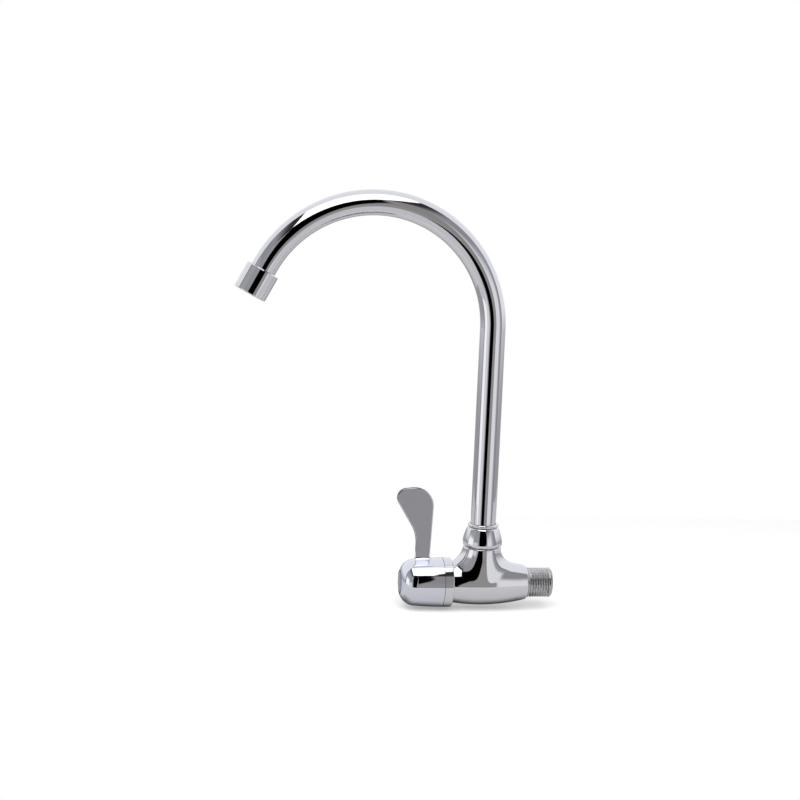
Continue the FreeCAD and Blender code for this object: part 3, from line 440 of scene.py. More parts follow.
    def build(self, view: View) -> Object:
        """Builds the tent square to the camera's azimuth.

        Args:
            view: The camera that the tent faces.

        Returns:
            The tent, which only reflections see.
        """
        mesh = bmesh.new()
        bmesh.ops.create_cube(mesh, size=1.0)
        size = Vector((2 * self.half_width, self.front + self.rear, self.roof - self.under))
        middle = Vector((0.0, (self.front - self.rear) / 2, (self.roof + self.under) / 2))
        bmesh.ops.transform(mesh, matrix=Matrix.LocRotScale(middle, None, size), verts=mesh.verts)
        bmesh.ops.reverse_faces(mesh, faces=mesh.faces)
        tent = new_object("light_tent", mesh)
        turn = math.radians(view.azimuth)
        right = Vector((math.cos(turn), math.sin(turn), 0.0))
        ahead = Vector((math.sin(turn), -math.cos(turn), 0.0))
        place = Matrix((right, ahead, Vector((0, 0, 1)))).transposed().to_4x4()
        place.translation = Vector((*self.centre, 0.0))
        tent.matrix_world = place
        tent.data.materials.append(self.shade())
        for ray in ("camera", "diffuse", "transmission", "volume_scatter", "shadow"):
            setattr(tent, "visible_" + ray, False)
        return tent


@dataclass
class Floor:
    """Pale floor just under the barrel, white to the camera where no shadow falls.

    Attributes:
        height: Its height, in metres.
        low, high: Two opposite corners of it.
        colour: Colour of the paper.
        lift: Light that it gives to the camera by itself.
        mirrored_lift: Light that it gives to the chrome.
        painted_shadow_rise, painted_shadow_fall: Where the painted shadow under the tap, which only the
            chrome sees, begins and ends across the barrel.
        painted_shadow_left, painted_shadow_right: Where it begins and ends along the barrel.
        painted_shadow_share: Share by which the paper is painted darker in that shadow.
    """

    height: float = -19.2 * MM
    low: tuple[float, float] = (-0.40, -0.088)
    high: tuple[float, float] = (0.35, 0.30)
    colour: Colour = grey(0.80, 0.004)
    lift: float = 0.30
    mirrored_lift: float = 0.05
    painted_shadow_rise: Span = (-16.0 * MM, -1.0 * MM)
    painted_shadow_fall: Span = (38.0 * MM, 50.0 * MM)
    painted_shadow_left: Span = (-110.0 * MM, -90.0 * MM)
    painted_shadow_right: Span = (-5.0 * MM, 15.0 * MM)
    painted_shadow_share: float = 0.72

    def painted_shadow_under_tap(self, sheet: NodeSheet) -> NodeSocket:
        """Returns 1 where a painted shadow darkens the paper under the tap and 0 away from it."""
        x, y, _ = sheet.split(sheet.add("TexCoord").outputs["Object"])
        return sheet.times(sheet.band(y, self.painted_shadow_rise, self.painted_shadow_fall),
                           sheet.band(x, self.painted_shadow_left, self.painted_shadow_right))

    def paper(self) -> Material:
        """Makes the paper, which lights itself a little for the camera and the chrome, and which the chrome
        sees with a painted shadow under the tap.

        Returns:
            The floor's material.
        """
        material, sheet = new_material("floor_paper")
        paper = sheet.add("BsdfDiffuse")
        seen = sheet.add("Emission")
        path = sheet.add("LightPath").outputs
        # painted shadow: to glossy rays the paper under the tap is darker and loses its mirrored glow
        gap = sheet.times(path["Is Glossy Ray"], self.painted_shadow_under_tap(sheet))
        sheet.put(paper.inputs["Color"], sheet.mix(gap, self.colour, darker(self.colour, self.painted_shadow_share)))
        mirrored = sheet.times(path["Is Glossy Ray"], sheet.ramp(gap, 0.0, 1.0, self.mirrored_lift, 0.0))
        lift = sheet.math("MULTIPLY_ADD", path["Is Camera Ray"], self.lift, mirrored)
        sheet.put(seen.inputs["Strength"], lift)
        both = sheet.add("AddShader")
        sheet.put(both.inputs[0], paper.outputs[0])
        sheet.put(both.inputs[1], seen.outputs[0])
        sheet.show(both)
        return material

    def build(self) -> Object:
        """Adds the floor.

        Returns:
            The floor's object.
        """
        mesh = bmesh.new()
        bmesh.ops.create_grid(mesh, x_segments=1, y_segments=1, size=0.5)
        low, high = Vector((*self.low, self.height)), Vector((*self.high, self.height))
        size = high - low + Vector((0, 0, 1))
        bmesh.ops.transform(mesh, matrix=Matrix.LocRotScale((low + high) / 2, None, size), verts=mesh.verts)
        floor = new_object("floor", mesh)
        floor.data.materials.append(self.paper())
        return floor


@dataclass
class Softbox:
    """Wide lamp above and before the tap, which lays its soft shadow behind the body.

    Attributes:
        place: Its middle, in metres.
        size: Length of its sides, in metres.
        power: Its power, in watts.
    """

    place: tuple[float, float, float] = (-0.25, -0.75, 0.85)
    size: float = 1.1
    power: float = 12.0

    def build(self) -> Object:
        """Adds the lamp, which polished faces don't mirror.

        Returns:
            The lamp's object.
        """
        light = bpy.data.lights.new("softbox", "AREA")
        light.size = self.size
        light.energy = self.power
        lamp = bpy.data.objects.new("softbox", light)
        lamp.location = self.place
        lamp.rotation_euler = Vector(self.place).to_track_quat("Z", "Y").to_euler()
        lamp.visible_glossy = False
        lamp.visible_camera = False
        bpy.context.scene.collection.objects.link(lamp)
        return lamp


def set_world(strength: float = 0.55) -> None:
    """White world: the background, and an even light for the floor and the dull pieces.

    Args:
        strength: Share of the light that comes evenly from all round.
    """
    world = bpy.data.worlds.new("studio")
    bpy.context.scene.world = world
    world.use_nodes = True
    sheet = NodeSheet(world.node_tree)
    sky = sheet.add("Background")
    sheet.put(sky.inputs["Color"], grey(1.0))
    seen = sheet.add("LightPath").outputs["Is Camera Ray"]
    sheet.put(sky.inputs["Strength"], sheet.ramp(seen, 0.0, 1.0, strength, 1.0))
    sheet.show(sky, "OutputWorld")
    world.cycles_visibility.glossy = False


def new_object(name: str, mesh: BMesh) -> Object:
    """Turns a bmesh into a linked object at the origin.

    Args:
        name: Name of the object and of its mesh.
        mesh: The bmesh, which is freed.

    Returns:
        The new object.
    """
    data = bpy.data.meshes.new(name)
    mesh.to_mesh(data)
    mesh.free()
    item = bpy.data.objects.new(name, data)
    bpy.context.scene.collection.objects.link(item)
    return item


class Effect:
    """Node groups shared by the finishes, each built once.

    Every group reads a place on the piece and puts out one colour, mask or height.
    """

    def __init__(self, name: str, inputs: dict[str, tuple[str, object]], output: tuple[str, str]) -> None:
        """Starts an empty group.

        Args:
            name: Name of the group.
            inputs: Each input's name after the place, with its socket type and its first value.
            output: Name and socket type of the output.
        """
        self.tree = bpy.data.node_groups.new(name, "ShaderNodeTree")
        for label, (kind, value) in {"Place": ("Vector", (0, 0, 0)), **inputs}.items():
            socket = self.tree.interface.new_socket(label, in_out="INPUT", socket_type="NodeSocket" + kind)
            socket.default_value = value
        self.tree.interface.new_socket(output[0], in_out="OUTPUT", socket_type="NodeSocket" + output[1])
        self.sheet = NodeSheet(self.tree)
        self.given = self.tree.nodes.new("NodeGroupInput").outputs
        self.out = self.tree.nodes.new("NodeGroupOutput").inputs

    def noise(self, scale: object, detail: float, squeeze: tuple[float, float, float] = (1, 1, 1),
              turn: float = 0.0) -> NodeSocket:
        """Returns a noise over the group's place, squeezed and turned to make streaks.

        Args:
            scale: Number or socket for the noise's scale.
            detail: Octaves of the noise.
            squeeze: Scale of each axis before the noise.
            turn: Turn of the streaks about the vertical, in radians.
        """
        mapping = self.sheet.add("Mapping")
        self.sheet.put(mapping.inputs["Vector"], self.given["Place"])
        self.sheet.put(mapping.inputs["Scale"], squeeze)
        self.sheet.put(mapping.inputs["Rotation"], (0.0, turn, turn))
        texture = self.sheet.add("TexNoise")
        self.sheet.put(texture.inputs["Vector"], mapping.outputs[0])
        self.sheet.put(texture.inputs["Scale"], scale)
        self.sheet.put(texture.inputs["Detail"], detail)
        return texture.outputs["Fac"]


# Where a noise begins and ends to show, from soft patches to few specks
PATCHES: Span = (0.35, 0.65)
DRIFT: Span = (0.3, 0.7)
LONG_MARKS: Span = (0.62, 0.72)
CROSS_MARKS: Span = (0.64, 0.74)
FEW_SPECKS: Span = (0.66, 0.72)
# Squeeze of a noise into streaks, with the streaks' turn in radians
LONG_STREAKS = ((1.0, 1.0, 0.04), 0.5)
CROSS_STREAKS = ((0.05, 1.0, 1.0), -0.7)


def gloss_effect() -> Effect:
    """Roughness with soft patches and fine wiping scratches."""
    group = Effect("wiped_gloss", {
        "Patch Scale": ("Float", 60.0), "Scratch Scale": ("Float", 900.0), "Roughness": ("Float", 0.05),
        "Spread": ("Float", 0.01), "Scratch": ("Float", 0.02),
    }, ("Roughness", "Float"))
    sheet, given = group.sheet, group.given
    patches = sheet.ramp(group.noise(given["Patch Scale"], 3.0), *PATCHES, -1.0, 1.0)
    level = sheet.math("MULTIPLY_ADD", patches, given["Spread"], given["Roughness"])
    along = sheet.ramp(group.noise(given["Scratch Scale"], 2.0, *LONG_STREAKS), *LONG_MARKS)
    across = sheet.ramp(group.noise(given["Scratch Scale"], 2.0, *CROSS_STREAKS), *CROSS_MARKS)
    marks = sheet.math("MAXIMUM", along, across)
    sheet.put(group.out["Roughness"], sheet.math("MULTIPLY_ADD", marks, given["Scratch"], level))
    return group


def relief_effect() -> Effect:
    """Height of the polished casting's slow ripple with fine grain on it."""
    group = Effect("surface_relief", {
        "Ripple Scale": ("Float", 60.0), "Grain Scale": ("Float", 3000.0), "Grain": ("Float", 0.1),
    }, ("Height", "Float"))
    sheet, given = group.sheet, group.given
    ripple = group.noise(given["Ripple Scale"], 1.0)
    grain = group.noise(given["Grain Scale"], 2.0)
    sheet.put(group.out["Height"], sheet.math("MULTIPLY_ADD", grain, given["Grain"], ripple))
    return group


def tone_effect() -> Effect:
    """Colour that drifts between two tones, with small specks."""
    group = Effect("tone_drift", {
        "Scale": ("Float", 80.0), "Speck Scale": ("Float", 1500.0),
        "Tone": ("Color", (0.5, 0.5, 0.5, 1)), "Other Tone": ("Color", (0.4, 0.4, 0.4, 1)),
        "Speck Tone": ("Color", (0.3, 0.3, 0.3, 1)), "Specks": ("Float", 0.1),
    }, ("Colour", "Color"))
    sheet, given = group.sheet, group.given
    drift = sheet.ramp(group.noise(given["Scale"], 3.0), *DRIFT)
    colour = sheet.mix(drift, given["Tone"], given["Other Tone"])
    specks = sheet.ramp(group.noise(given["Speck Scale"], 1.0), *FEW_SPECKS, 0.0, given["Specks"])
    sheet.put(group.out["Colour"], sheet.mix(specks, colour, given["Speck Tone"]))
    return group


@dataclass
class Bench:
    """The shared effects, ready to be placed in a finish."""

    gloss: Effect = field(default_factory=gloss_effect)
    relief: Effect = field(default_factory=relief_effect)
    tone: Effect = field(default_factory=tone_effect)

    def place(self, sheet: NodeSheet, effect: Effect, where: NodeSocket, **values: object) -> NodeSocket:
        """Puts an effect into a material.

        Args:
            sheet: The material's nodes.
            effect: The group to place.
            where: Socket of the place that the group reads.
            values: Values of the group's inputs, with underscores for spaces.

        Returns:
            The group's output socket.
        """
        node = sheet.tree.nodes.new("ShaderNodeGroup")
        node.node_tree = effect.tree
        sheet.put(node.inputs["Place"], where)
        for label, value in values.items():
            sheet.put(node.inputs[label.replace("_", " ").title()], value)
        return node.outputs[0]


@dataclass(frozen=True)
class Finish:
    """A surface of one substance.

    Attributes:
        name: Name of the material.
        colour: Its main tone.
        roughness: Middle of its roughness.
        metal: 1 for a metal and 0 for anything else.
        drift: Share by which the second tone is darker.
        specks: Share of the dark specks.
        spread: How far the roughness wanders either way.
        scratch: Roughness that a wiping scratch adds.
        depth: Depth of the relief, in metres.
        ripple_scale: How close the relief's ripples are.
        grain: Share of fine grain in the relief.
    """

    name: str
    colour: Colour
    roughness: float
    metal: float = 0.0
    drift: float = 0.06
    specks: float = 0.10
    spread: float = 0.02
    scratch: float = 0.05
    depth: float = 0.02 * MM
    ripple_scale: float = 300.0
    grain: float = 0.3

    def make(self, bench: Bench) -> Material:
        """Builds the material from the shared effects.

        Args:
            bench: The shared effects.

        Returns:
            The material.
        """
        material, sheet = new_material(self.name)
        where = sheet.add("TexCoord").outputs["Object"]
        shader = sheet.add("BsdfPrincipled")
        sheet.put(shader.inputs["Metallic"], self.metal)
        sheet.put(shader.inputs["Base Color"], self.tone(sheet, bench, where))
        sheet.put(shader.inputs["Roughness"], self.gloss(sheet, bench, where))
        relief = sheet.add("Bump")
        sheet.put(relief.inputs["Strength"], 1.0)
        sheet.put(relief.inputs["Distance"], self.depth)
        sheet.put(relief.inputs["Height"], bench.place(
            sheet, bench.relief, where, ripple_scale=self.ripple_scale, grain=self.grain))
        sheet.put(shader.inputs["Normal"], relief.outputs["Normal"])
        sheet.show(shader)
        return material

    def tone(self, sheet: NodeSheet, bench: Bench, where: NodeSocket) -> NodeSocket:
        """Colour of the substance, drifting between two tones."""
        return bench.place(sheet, bench.tone, where, tone=self.colour, specks=self.specks,
                           other_tone=darker(self.colour, self.drift), speck_tone=darker(self.colour, 0.5))

    def gloss(self, sheet: NodeSheet, bench: Bench, where: NodeSocket) -> NodeSocket:
        """Roughness of the substance, with its wiping scratches."""
        return bench.place(sheet, bench.gloss, where, roughness=self.roughness, spread=self.spread,
                           scratch=self.scratch)


@dataclass(frozen=True)
class ShadedEdgeFinish(Finish):
    """Finish with painted shade and another roughness on a part of its piece.

    Attributes:
        painted_shade_tone: Colour of the painted shade on that part.
        edge_roughness: Roughness of that part.
    """

    painted_shade_tone: Colour = grey(0.01)
    edge_roughness: float = 0.75

    def edge(self, sheet: NodeSheet, where: NodeSocket) -> object:
        """Returns 1 on the part with painted shade and 0 elsewhere."""
        return 0.0

    def tone(self, sheet: NodeSheet, bench: Bench, where: NodeSocket) -> NodeSocket:
        """Colour of the substance, with painted shade on its edge."""
        return sheet.mix(self.edge(sheet, where), super().tone(sheet, bench, where), self.painted_shade_tone)

    def gloss(self, sheet: NodeSheet, bench: Bench, where: NodeSocket) -> NodeSocket:
        """Roughness of the substance, changed on its edge."""
        plain = super().gloss(sheet, bench, where)
        return sheet.ramp(self.edge(sheet, where), 0.0, 1.0, plain, self.edge_roughness)


@dataclass(frozen=True)
class RimShadeFinish(ShadedEdgeFinish):
    """Finish of a round cap on the barrel's axis, with painted shade on its rim for the gap round it.

    Attributes:
        rim: Distances from the axis where the painted shade at the rim begins and is full, in metres.
    """

    rim: Span = (7.3 * MM, 7.9 * MM)

    def edge(self, sheet: NodeSheet, where: NodeSocket) -> NodeSocket:
        """Returns 1 on the painted shade at the rim and 0 inside it."""
        across = sheet.add("Mapping")
        sheet.put(across.inputs["Vector"], where)
        sheet.put(across.inputs["Scale"], (0.0, 1.0, 1.0))
        away = sheet.add("VectorMath", operation="LENGTH")
        sheet.put(away.inputs[0], across.outputs[0])
        return sheet.ramp(away.outputs["Value"], *self.rim)


@dataclass(frozen=True)
class PaddleFinish(ShadedEdgeFinish):
    """Polished plate with painted shade on the paddle's narrow edges.

    Attributes:
        foot: Heights where the painted shade of the edges begins and is full, in metres.
        facing: Share of a face's normal across the paddle where the painted shade is full and where it ends.
    """

    foot: Span = (20.0 * MM, 24.0 * MM)
    facing: Span = (0.45, 0.92)

    def edge(self, sheet: NodeSheet, where: NodeSocket) -> NodeSocket:
        """Returns 1 on the paddle's narrow edges, where shade is painted, and 0 elsewhere."""
        turned = sheet.split(sheet.add("TexCoord").outputs["Normal"])
        sideways = sheet.ramp(sheet.math("ABSOLUTE", turned["Y"]), *self.facing, 1.0, 0.0)
        return sheet.times(sideways, sheet.ramp(sheet.split(where)["Z"], *self.foot))


POLISH = {"metal": 1.0, "drift": 0.012, "specks": 0.0, "spread": 0.008, "scratch": 0.03,
          "depth": 0.0015 * MM, "ripple_scale": 90.0, "grain": 0.004}
PADDLE_TONE = (0.588, 0.600, 0.660, 1.0)
CHROME = Finish("chrome_plate", (0.580, 0.575, 0.606, 1.0), 0.040, **POLISH)
# painted shade: the paddle's narrow edges are coloured far darker than the plate
PADDLE = PaddleFinish("lever_plate", PADDLE_TONE, 0.040, painted_shade_tone=darker(PADDLE_TONE, 0.88),
                      edge_roughness=0.45, **POLISH)
THREAD = Finish("rolled_thread", (0.45, 0.445, 0.46, 1.0), 0.12, metal=1.0, drift=0.22, specks=0.25,
                spread=0.05, scratch=0.08, depth=0.03 * MM, ripple_scale=500.0)
BRASS = Finish("turned_brass", (0.80, 0.58, 0.30, 1.0), 0.28, metal=1.0, drift=0.10, scratch=0.10)
STEEL = Finish("stainless_steel", (0.56, 0.55, 0.53, 1.0), 0.24, metal=1.0, scratch=0.08)
RUBBER = Finish("black_rubber", grey(0.02), 0.6, specks=0.3)
FIXED_DISC = Finish("fixed_disc_ceramic", grey(0.82, 0.02), 0.15, depth=0.003 * MM)
MOVING_DISC = Finish("moving_disc_ceramic", grey(0.60, 0.02), 0.15, depth=0.003 * MM)
SLIP_PLASTIC = Finish("low_friction_plastic", grey(0.80), 0.35)
AERATOR_PLASTIC = Finish("aerator_plastic", grey(0.75), 0.4)
# painted shade: a near-black ring at the cap's rim stands in for the shade in the gap round it
CAP = RimShadeFinish("index_cap", (0.20, 0.20, 0.27, 1.0), 0.2, depth=0.004 * MM)


class FinishShelf:
    """The materials of the finishes, each made at its first use."""

    def __init__(self, bench: Bench) -> None:
        """Starts with no material made."""
        self.bench = bench
        self.made: dict[str, Material] = {}

    def take(self, finish: Finish) -> Material:
        """Returns the material of a finish."""
        if finish.name not in self.made:
            self.made[finish.name] = finish.make(self.bench)
        return self.made[finish.name]


@dataclass
class SubAssembly:
    """Pieces that belong together and are dressed together.

    Attributes:
        carried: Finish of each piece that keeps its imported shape.
    """

    carried: dict[str, Finish] = field(default_factory=dict)

    def assemble(self, nodes: dict[str, Object], shelf: FinishShelf) -> None:
        """Dresses the pieces; a sub-assembly with shapes of its own builds them first.

        Args:
            nodes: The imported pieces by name.
            shelf: The finishes' materials.
        """
        for name, finish in self.carried.items():
            for slot in nodes[name].material_slots:
                slot.material = shelf.take(finish)
            LOG.info("%s dressed in %s", name, finish.name)

    def hang(self, piece: Object, body: Body, slot: str, node: str | None = None) -> None:
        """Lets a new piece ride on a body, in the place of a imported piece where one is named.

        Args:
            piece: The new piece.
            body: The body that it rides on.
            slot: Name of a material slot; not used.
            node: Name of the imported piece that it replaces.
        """
        if node:
            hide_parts(node)
        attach(piece, body.value)
        LOG.info("%s built with %d faces", piece.name, len(piece.data.polygons))


def spun(profile: list[tuple[float, float]], axis: Vector, centre: Vector, steps: int) -> BMesh:
    """Turns a closed or open profile once round an axis.

    Args:
        profile: Points as places along the axis and distances from it.
        axis: Direction of the axis.
        centre: A point on the axis.
        steps: Facets round the axis.

    Returns:
        The turned mesh, with its doubles merged and its faces outward.
    """
    mesh = bmesh.new()
    out = axis.orthogonal().normalized()
    row = [mesh.verts.new(centre + axis * along + out * away) for along, away in profile]
    edges = [mesh.edges.new(pair) for pair in zip(row, row[1:])]
    bmesh.ops.spin(mesh, geom=row + edges, cent=centre, axis=axis, angle=math.tau, steps=steps,
                   use_merge=True)
    bmesh.ops.remove_doubles(mesh, verts=mesh.verts, dist=MERGE)
    bmesh.ops.recalc_face_normals(mesh, faces=mesh.faces)
    return mesh


def add_faces(mesh: BMesh, other: BMesh) -> None:
    """Adds another bmesh to one, and frees the other."""
    part = bpy.data.meshes.new("part")
    other.to_mesh(part)
    other.free()
    mesh.from_mesh(part)
    bpy.data.meshes.remove(part)


def places(vertices: object) -> np.ndarray:
    """The places of vertices, one in each row."""
    return np.array([vertex.co[:] for vertex in vertices])


def smooth_with_creases(item: Object, crease: float) -> None:
    """Shades a piece smooth, with sharp edges where it turns by more than crease degrees."""
    item.data.polygons.foreach_set("use_smooth", [True] * len(item.data.polygons))
    item.data.set_sharp_from_angle(angle=math.radians(crease))


@dataclass
class BodyCasting(SubAssembly):
    """Barrel and neck as one polished casting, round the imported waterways, seat and thread.

    The neck flows into the barrel over a wide blend, as on the real casting, so the outer
    skin is settled on the smooth union of a bulged barrel and a round-ended neck. The
    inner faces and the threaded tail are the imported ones.

    Attributes:
        depth: From the shoulder to the mouth under the handle.
        curve: Radius of the barrel's bulge along its length.
        shoulder: Radius at the shoulder.
        mouth: Radius at the mouth.
        neck_place: The neck's axis along the barrel.
        neck_radius: Radius of the neck.
        neck_top: Height of the neck's end.
        neck_round: Radius of the round at the neck's top edge.
        blend: Width of the smooth union high on the neck.
        blend_lean: How much wider it is on the handle's side, and narrower on the wall's.
        lean_reach: Distance over which it changes.
        front_blend: Width of the smooth union on the barrel's lower front, which stays round.
        blend_start: Height where the union begins to widen.
        blend_rise: Height over which it reaches its full width.
        shave: How far below the neck's end the skin stops.
        skin: Depth within which a packed face counts as outer skin.
        land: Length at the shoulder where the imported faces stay.
        land_normals: Length of it that keeps its own normals.
        bore: Radius within which a face of the waterway lies.
        touch: Distance within which a point lies on a plane.
        close: Distance within which a point or a face lies at an end or an edge.
        reach: Distance within which an open edge belongs to a rim that is joined.
        flat: Least share of a normal along the axis of a face that closes an end.
        voxel: Grid of the first rough mesh.
        margin: How far the rough mesh runs past the casting's ends before they are cut.
        rings, steps: Faces of the rough barrel along and round its axis.
        smooth_rounds: Rounds of evening out the vertices.
        settle_rounds: Rounds of moving the vertices onto the skin.
        least_slope: Least square of the slope that a move is divided by.
        crease: Angle of a sharp edge, in degrees.
    """

    depth: float = 56.0 * MM
    curve: float = 140.0 * MM
    shoulder: float = 11.9 * MM
    mouth: float = 14.0 * MM
    neck_place: float = -33.0 * MM
    neck_radius: float = 13.4 * MM
    neck_top: float = 26.6 * MM
    neck_round: float = 1.3 * MM
    blend: float = 13.0 * MM
    blend_lean: float = 1.0 * MM
    lean_reach: float = 9.0 * MM
    front_blend: float = 0.4 * MM
    blend_start: float = -5.0 * MM
    blend_rise: float = 24.0 * MM
    shave: float = 0.03 * MM
    skin: float = 0.9 * MM
    land: float = 1.25 * MM
    land_normals: float = 1.0 * MM
    bore: float = 8.0 * MM
    touch: float = 0.01 * MM
    close: float = 0.1 * MM
    reach: float = 0.5 * MM
    flat: float = 0.99
    voxel: float = 0.75 * MM
    margin: float = 4.0 * MM
    rings: int = 24
    steps: int = 48
    smooth_rounds: int = 4
    settle_rounds: int = 6
    least_slope: float = 0.05
    crease: float = 28.0

    def barrel_radius(self, x: np.ndarray) -> np.ndarray:
        """Radius of the bulged barrel at places along it."""
        start, end = Vector((0.0, self.shoulder)), Vector((-self.depth, self.mouth))
        half = (end - start) / 2
        down = Vector((-half.y, half.x)).normalized()
        centre = (start + end) / 2 + down * math.sqrt(self.curve ** 2 - half.length_squared)
        return centre.y + np.sqrt(np.maximum(self.curve ** 2 - (x - centre.x) ** 2, 0.0))

    def height(self, points: np.ndarray) -> np.ndarray:
        """Distance of points from the skin, positive outside.

        Args:
            points: One point in each row.

        Returns:
            One distance for each point.
        """
        x, y, z = points.T
        barrel = np.hypot(y, z) - self.barrel_radius(x)
        core = self.neck_radius - self.neck_round
        below = np.minimum(z, 0.0)
        away = np.sqrt((x - self.neck_place) ** 2 + y ** 2 + below ** 2) - core
        over = z - (self.neck_top - self.neck_round)
        corner = np.hypot(np.maximum(away, 0.0), np.maximum(over, 0.0))
        neck = corner + np.minimum(np.maximum(away, over), 0.0) - self.neck_round
        rise = np.clip((z - self.blend_start) / self.blend_rise, 0.0, 1.0)
        full = self.blend - self.blend_lean * np.tanh((x - self.neck_place) / self.lean_reach)
        width = self.front_blend + (full - self.front_blend) * rise * rise * (3.0 - 2.0 * rise)
        near = np.maximum(width - np.abs(barrel - neck), 0.0) / width
        return np.minimum(barrel, neck) - near ** 2 * width / 4

    def plain_height(self, points: np.ndarray) -> np.ndarray:
        """Distance of points from the barrel and neck as they are packed, without the wide blend."""
        x, y, z = points.T
        barrel = np.hypot(y, z) - self.barrel_radius(x)
        neck = np.maximum(np.hypot(x - self.neck_place, y) - self.neck_radius, z - self.neck_top)
        return np.where(z > 0, np.minimum(barrel, neck), barrel)

    def slope(self, points: np.ndarray, step: float = 1e-6) -> np.ndarray:
        """Gradient of the distance at points."""
        parts = []
        for axis in np.eye(3) * step:
            parts.append((self.height(points + axis) - self.height(points - axis)) / (2 * step))
        return np.stack(parts, axis=1)

    def settle(self, mesh: BMesh) -> None:
        """Moves every vertex onto the skin."""
        points = places(mesh.verts)
        for _ in range(self.settle_rounds):
            slope = self.slope(points)
            size = np.maximum((slope ** 2).sum(axis=1), self.least_slope)
            points = points - slope * (self.height(points) / size)[:, None]
        for vertex, point in zip(mesh.verts, points):
            vertex.co = point

    def rough_skin(self) -> BMesh:
        """Rough even mesh of the barrel and neck together."""
        along = np.linspace(-self.depth - self.margin, self.margin, self.rings + 1)
        outline = list(zip(along.tolist(), self.barrel_radius(along).tolist()))
        profile = [(outline[0][0], 0.0), *outline, (outline[-1][0], 0.0)]
        mesh = spun(profile, Vector((1, 0, 0)), Vector(), self.steps)
        top = self.neck_top + self.margin
        neck = spun([(0.0, 0.0), (0.0, self.neck_radius), (top, self.neck_radius), (top, 0.0)],
                    Vector((0, 0, 1)), Vector((self.neck_place, 0, 0)), self.steps)
        add_faces(mesh, neck)
        rough = new_object("rough_casting", mesh)
        remesh = rough.modifiers.new("even_mesh", "REMESH")
        remesh.mode = "VOXEL"
        remesh.voxel_size = self.voxel
        finished = rough.evaluated_get(bpy.context.evaluated_depsgraph_get())
        even = bmesh.new()
        even.from_mesh(finished.to_mesh())
        finished.to_mesh_clear()
        bpy.data.objects.remove(rough)
        return even

    def outer_skin(self, seam: float) -> BMesh:
        """The casting's skin, open at the mouth, the neck's top and the shoulder.

        Args:
            seam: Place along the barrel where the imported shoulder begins.

        Returns:
            The skin.
        """
        mesh = self.rough_skin()
        for _ in range(self.smooth_rounds):
            self.settle(mesh)
            bmesh.ops.smooth_vert(mesh, verts=mesh.verts, factor=0.5,
                                  use_axis_x=True, use_axis_y=True, use_axis_z=True)
        self.settle(mesh)
        for place, outward in (((-self.depth, 0, 0), (-1, 0, 0)), ((seam, 0, 0), (1, 0, 0)),
                               ((0, 0, self.neck_top - self.shave), (0, 0, 1))):
            bmesh.ops.bisect_plane(mesh, geom=mesh.verts[:] + mesh.edges[:] + mesh.faces[:], dist=MERGE,
                                   plane_co=place, plane_no=outward, clear_outer=True)
        return mesh

    def inner_faces(self, node: Object) -> BMesh:
        """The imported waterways, end faces and threaded tail, without the outer skin.

        Args:
            node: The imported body.

        Returns:
            The kept faces.
        """
        mesh = bmesh.new()
        mesh.from_mesh(node.data)
        bmesh.ops.remove_doubles(mesh, verts=mesh.verts, dist=MERGE)
        rim = self.neck_radius - self.neck_round + math.sqrt(2 * self.neck_round * self.shave)
        heights = self.plain_height(places(mesh.verts))
        outer = []
        for face in mesh.faces:
            middle = face.calc_center_median()
            skin = all(heights[v.index] > -self.skin and v.co.z < self.neck_top + self.touch
                       for v in face.verts)
            mouth_face = middle.x < -self.depth + self.close and abs(face.normal.x) >= self.flat
            top_face = middle.z > self.neck_top - self.close and face.normal.z >= self.flat
            if skin and not mouth_face and not top_face and middle.x < -self.land:
                outer.append(face)
        bmesh.ops.delete(mesh, geom=outer, context="FACES")
        for vertex in mesh.verts:
            away = Vector((vertex.co.x - self.neck_place, vertex.co.y))
            on_top = abs(vertex.co.z - self.neck_top) < self.touch
            if on_top and abs(away.length - self.neck_radius) < self.close:
                vertex.co.xy = away * (rim / away.length) + Vector((self.neck_place, 0.0))
        return mesh

    def assemble(self, nodes: dict[str, Object], shelf: FinishShelf) -> None:
        """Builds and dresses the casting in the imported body's place."""
        casting = self.build(nodes["tap_body"])
        self.dress(casting, shelf.take(CHROME), shelf.take(THREAD), shelf.take(BRASS))
        self.hang(casting, Body.TAP, "polished_chrome", "tap_body")

    def build(self, node: Object) -> Object:
        """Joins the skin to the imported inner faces.

        Args:
            node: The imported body.

        Returns:
            The casting.
        """
        inner = self.inner_faces(node)
        rims = [v.co.x for e in inner.edges if e.is_boundary for v in e.verts if v.co.x > -self.mouth]
        seam = sum(rims) / len(rims)
        mesh = self.outer_skin(seam)
        add_faces(mesh, inner)
        for near in (lambda c: c.x < -self.depth + self.reach, lambda c: c.z > self.neck_top - self.reach,
                     lambda c: c.x > seam - self.reach):
            rim = [e for e in mesh.edges if e.is_boundary and all(near(v.co) for v in e.verts)]
            bmesh.ops.bridge_loops(mesh, edges=rim)
        LOG.info("open edges after joining: %d", sum(e.is_boundary for e in mesh.edges))
        bmesh.ops.recalc_face_normals(mesh, faces=mesh.faces)
        bmesh.ops.triangulate(mesh, faces=[f for f in mesh.faces if len(f.verts) > 4])
        return new_object("tap_body_casting", mesh)

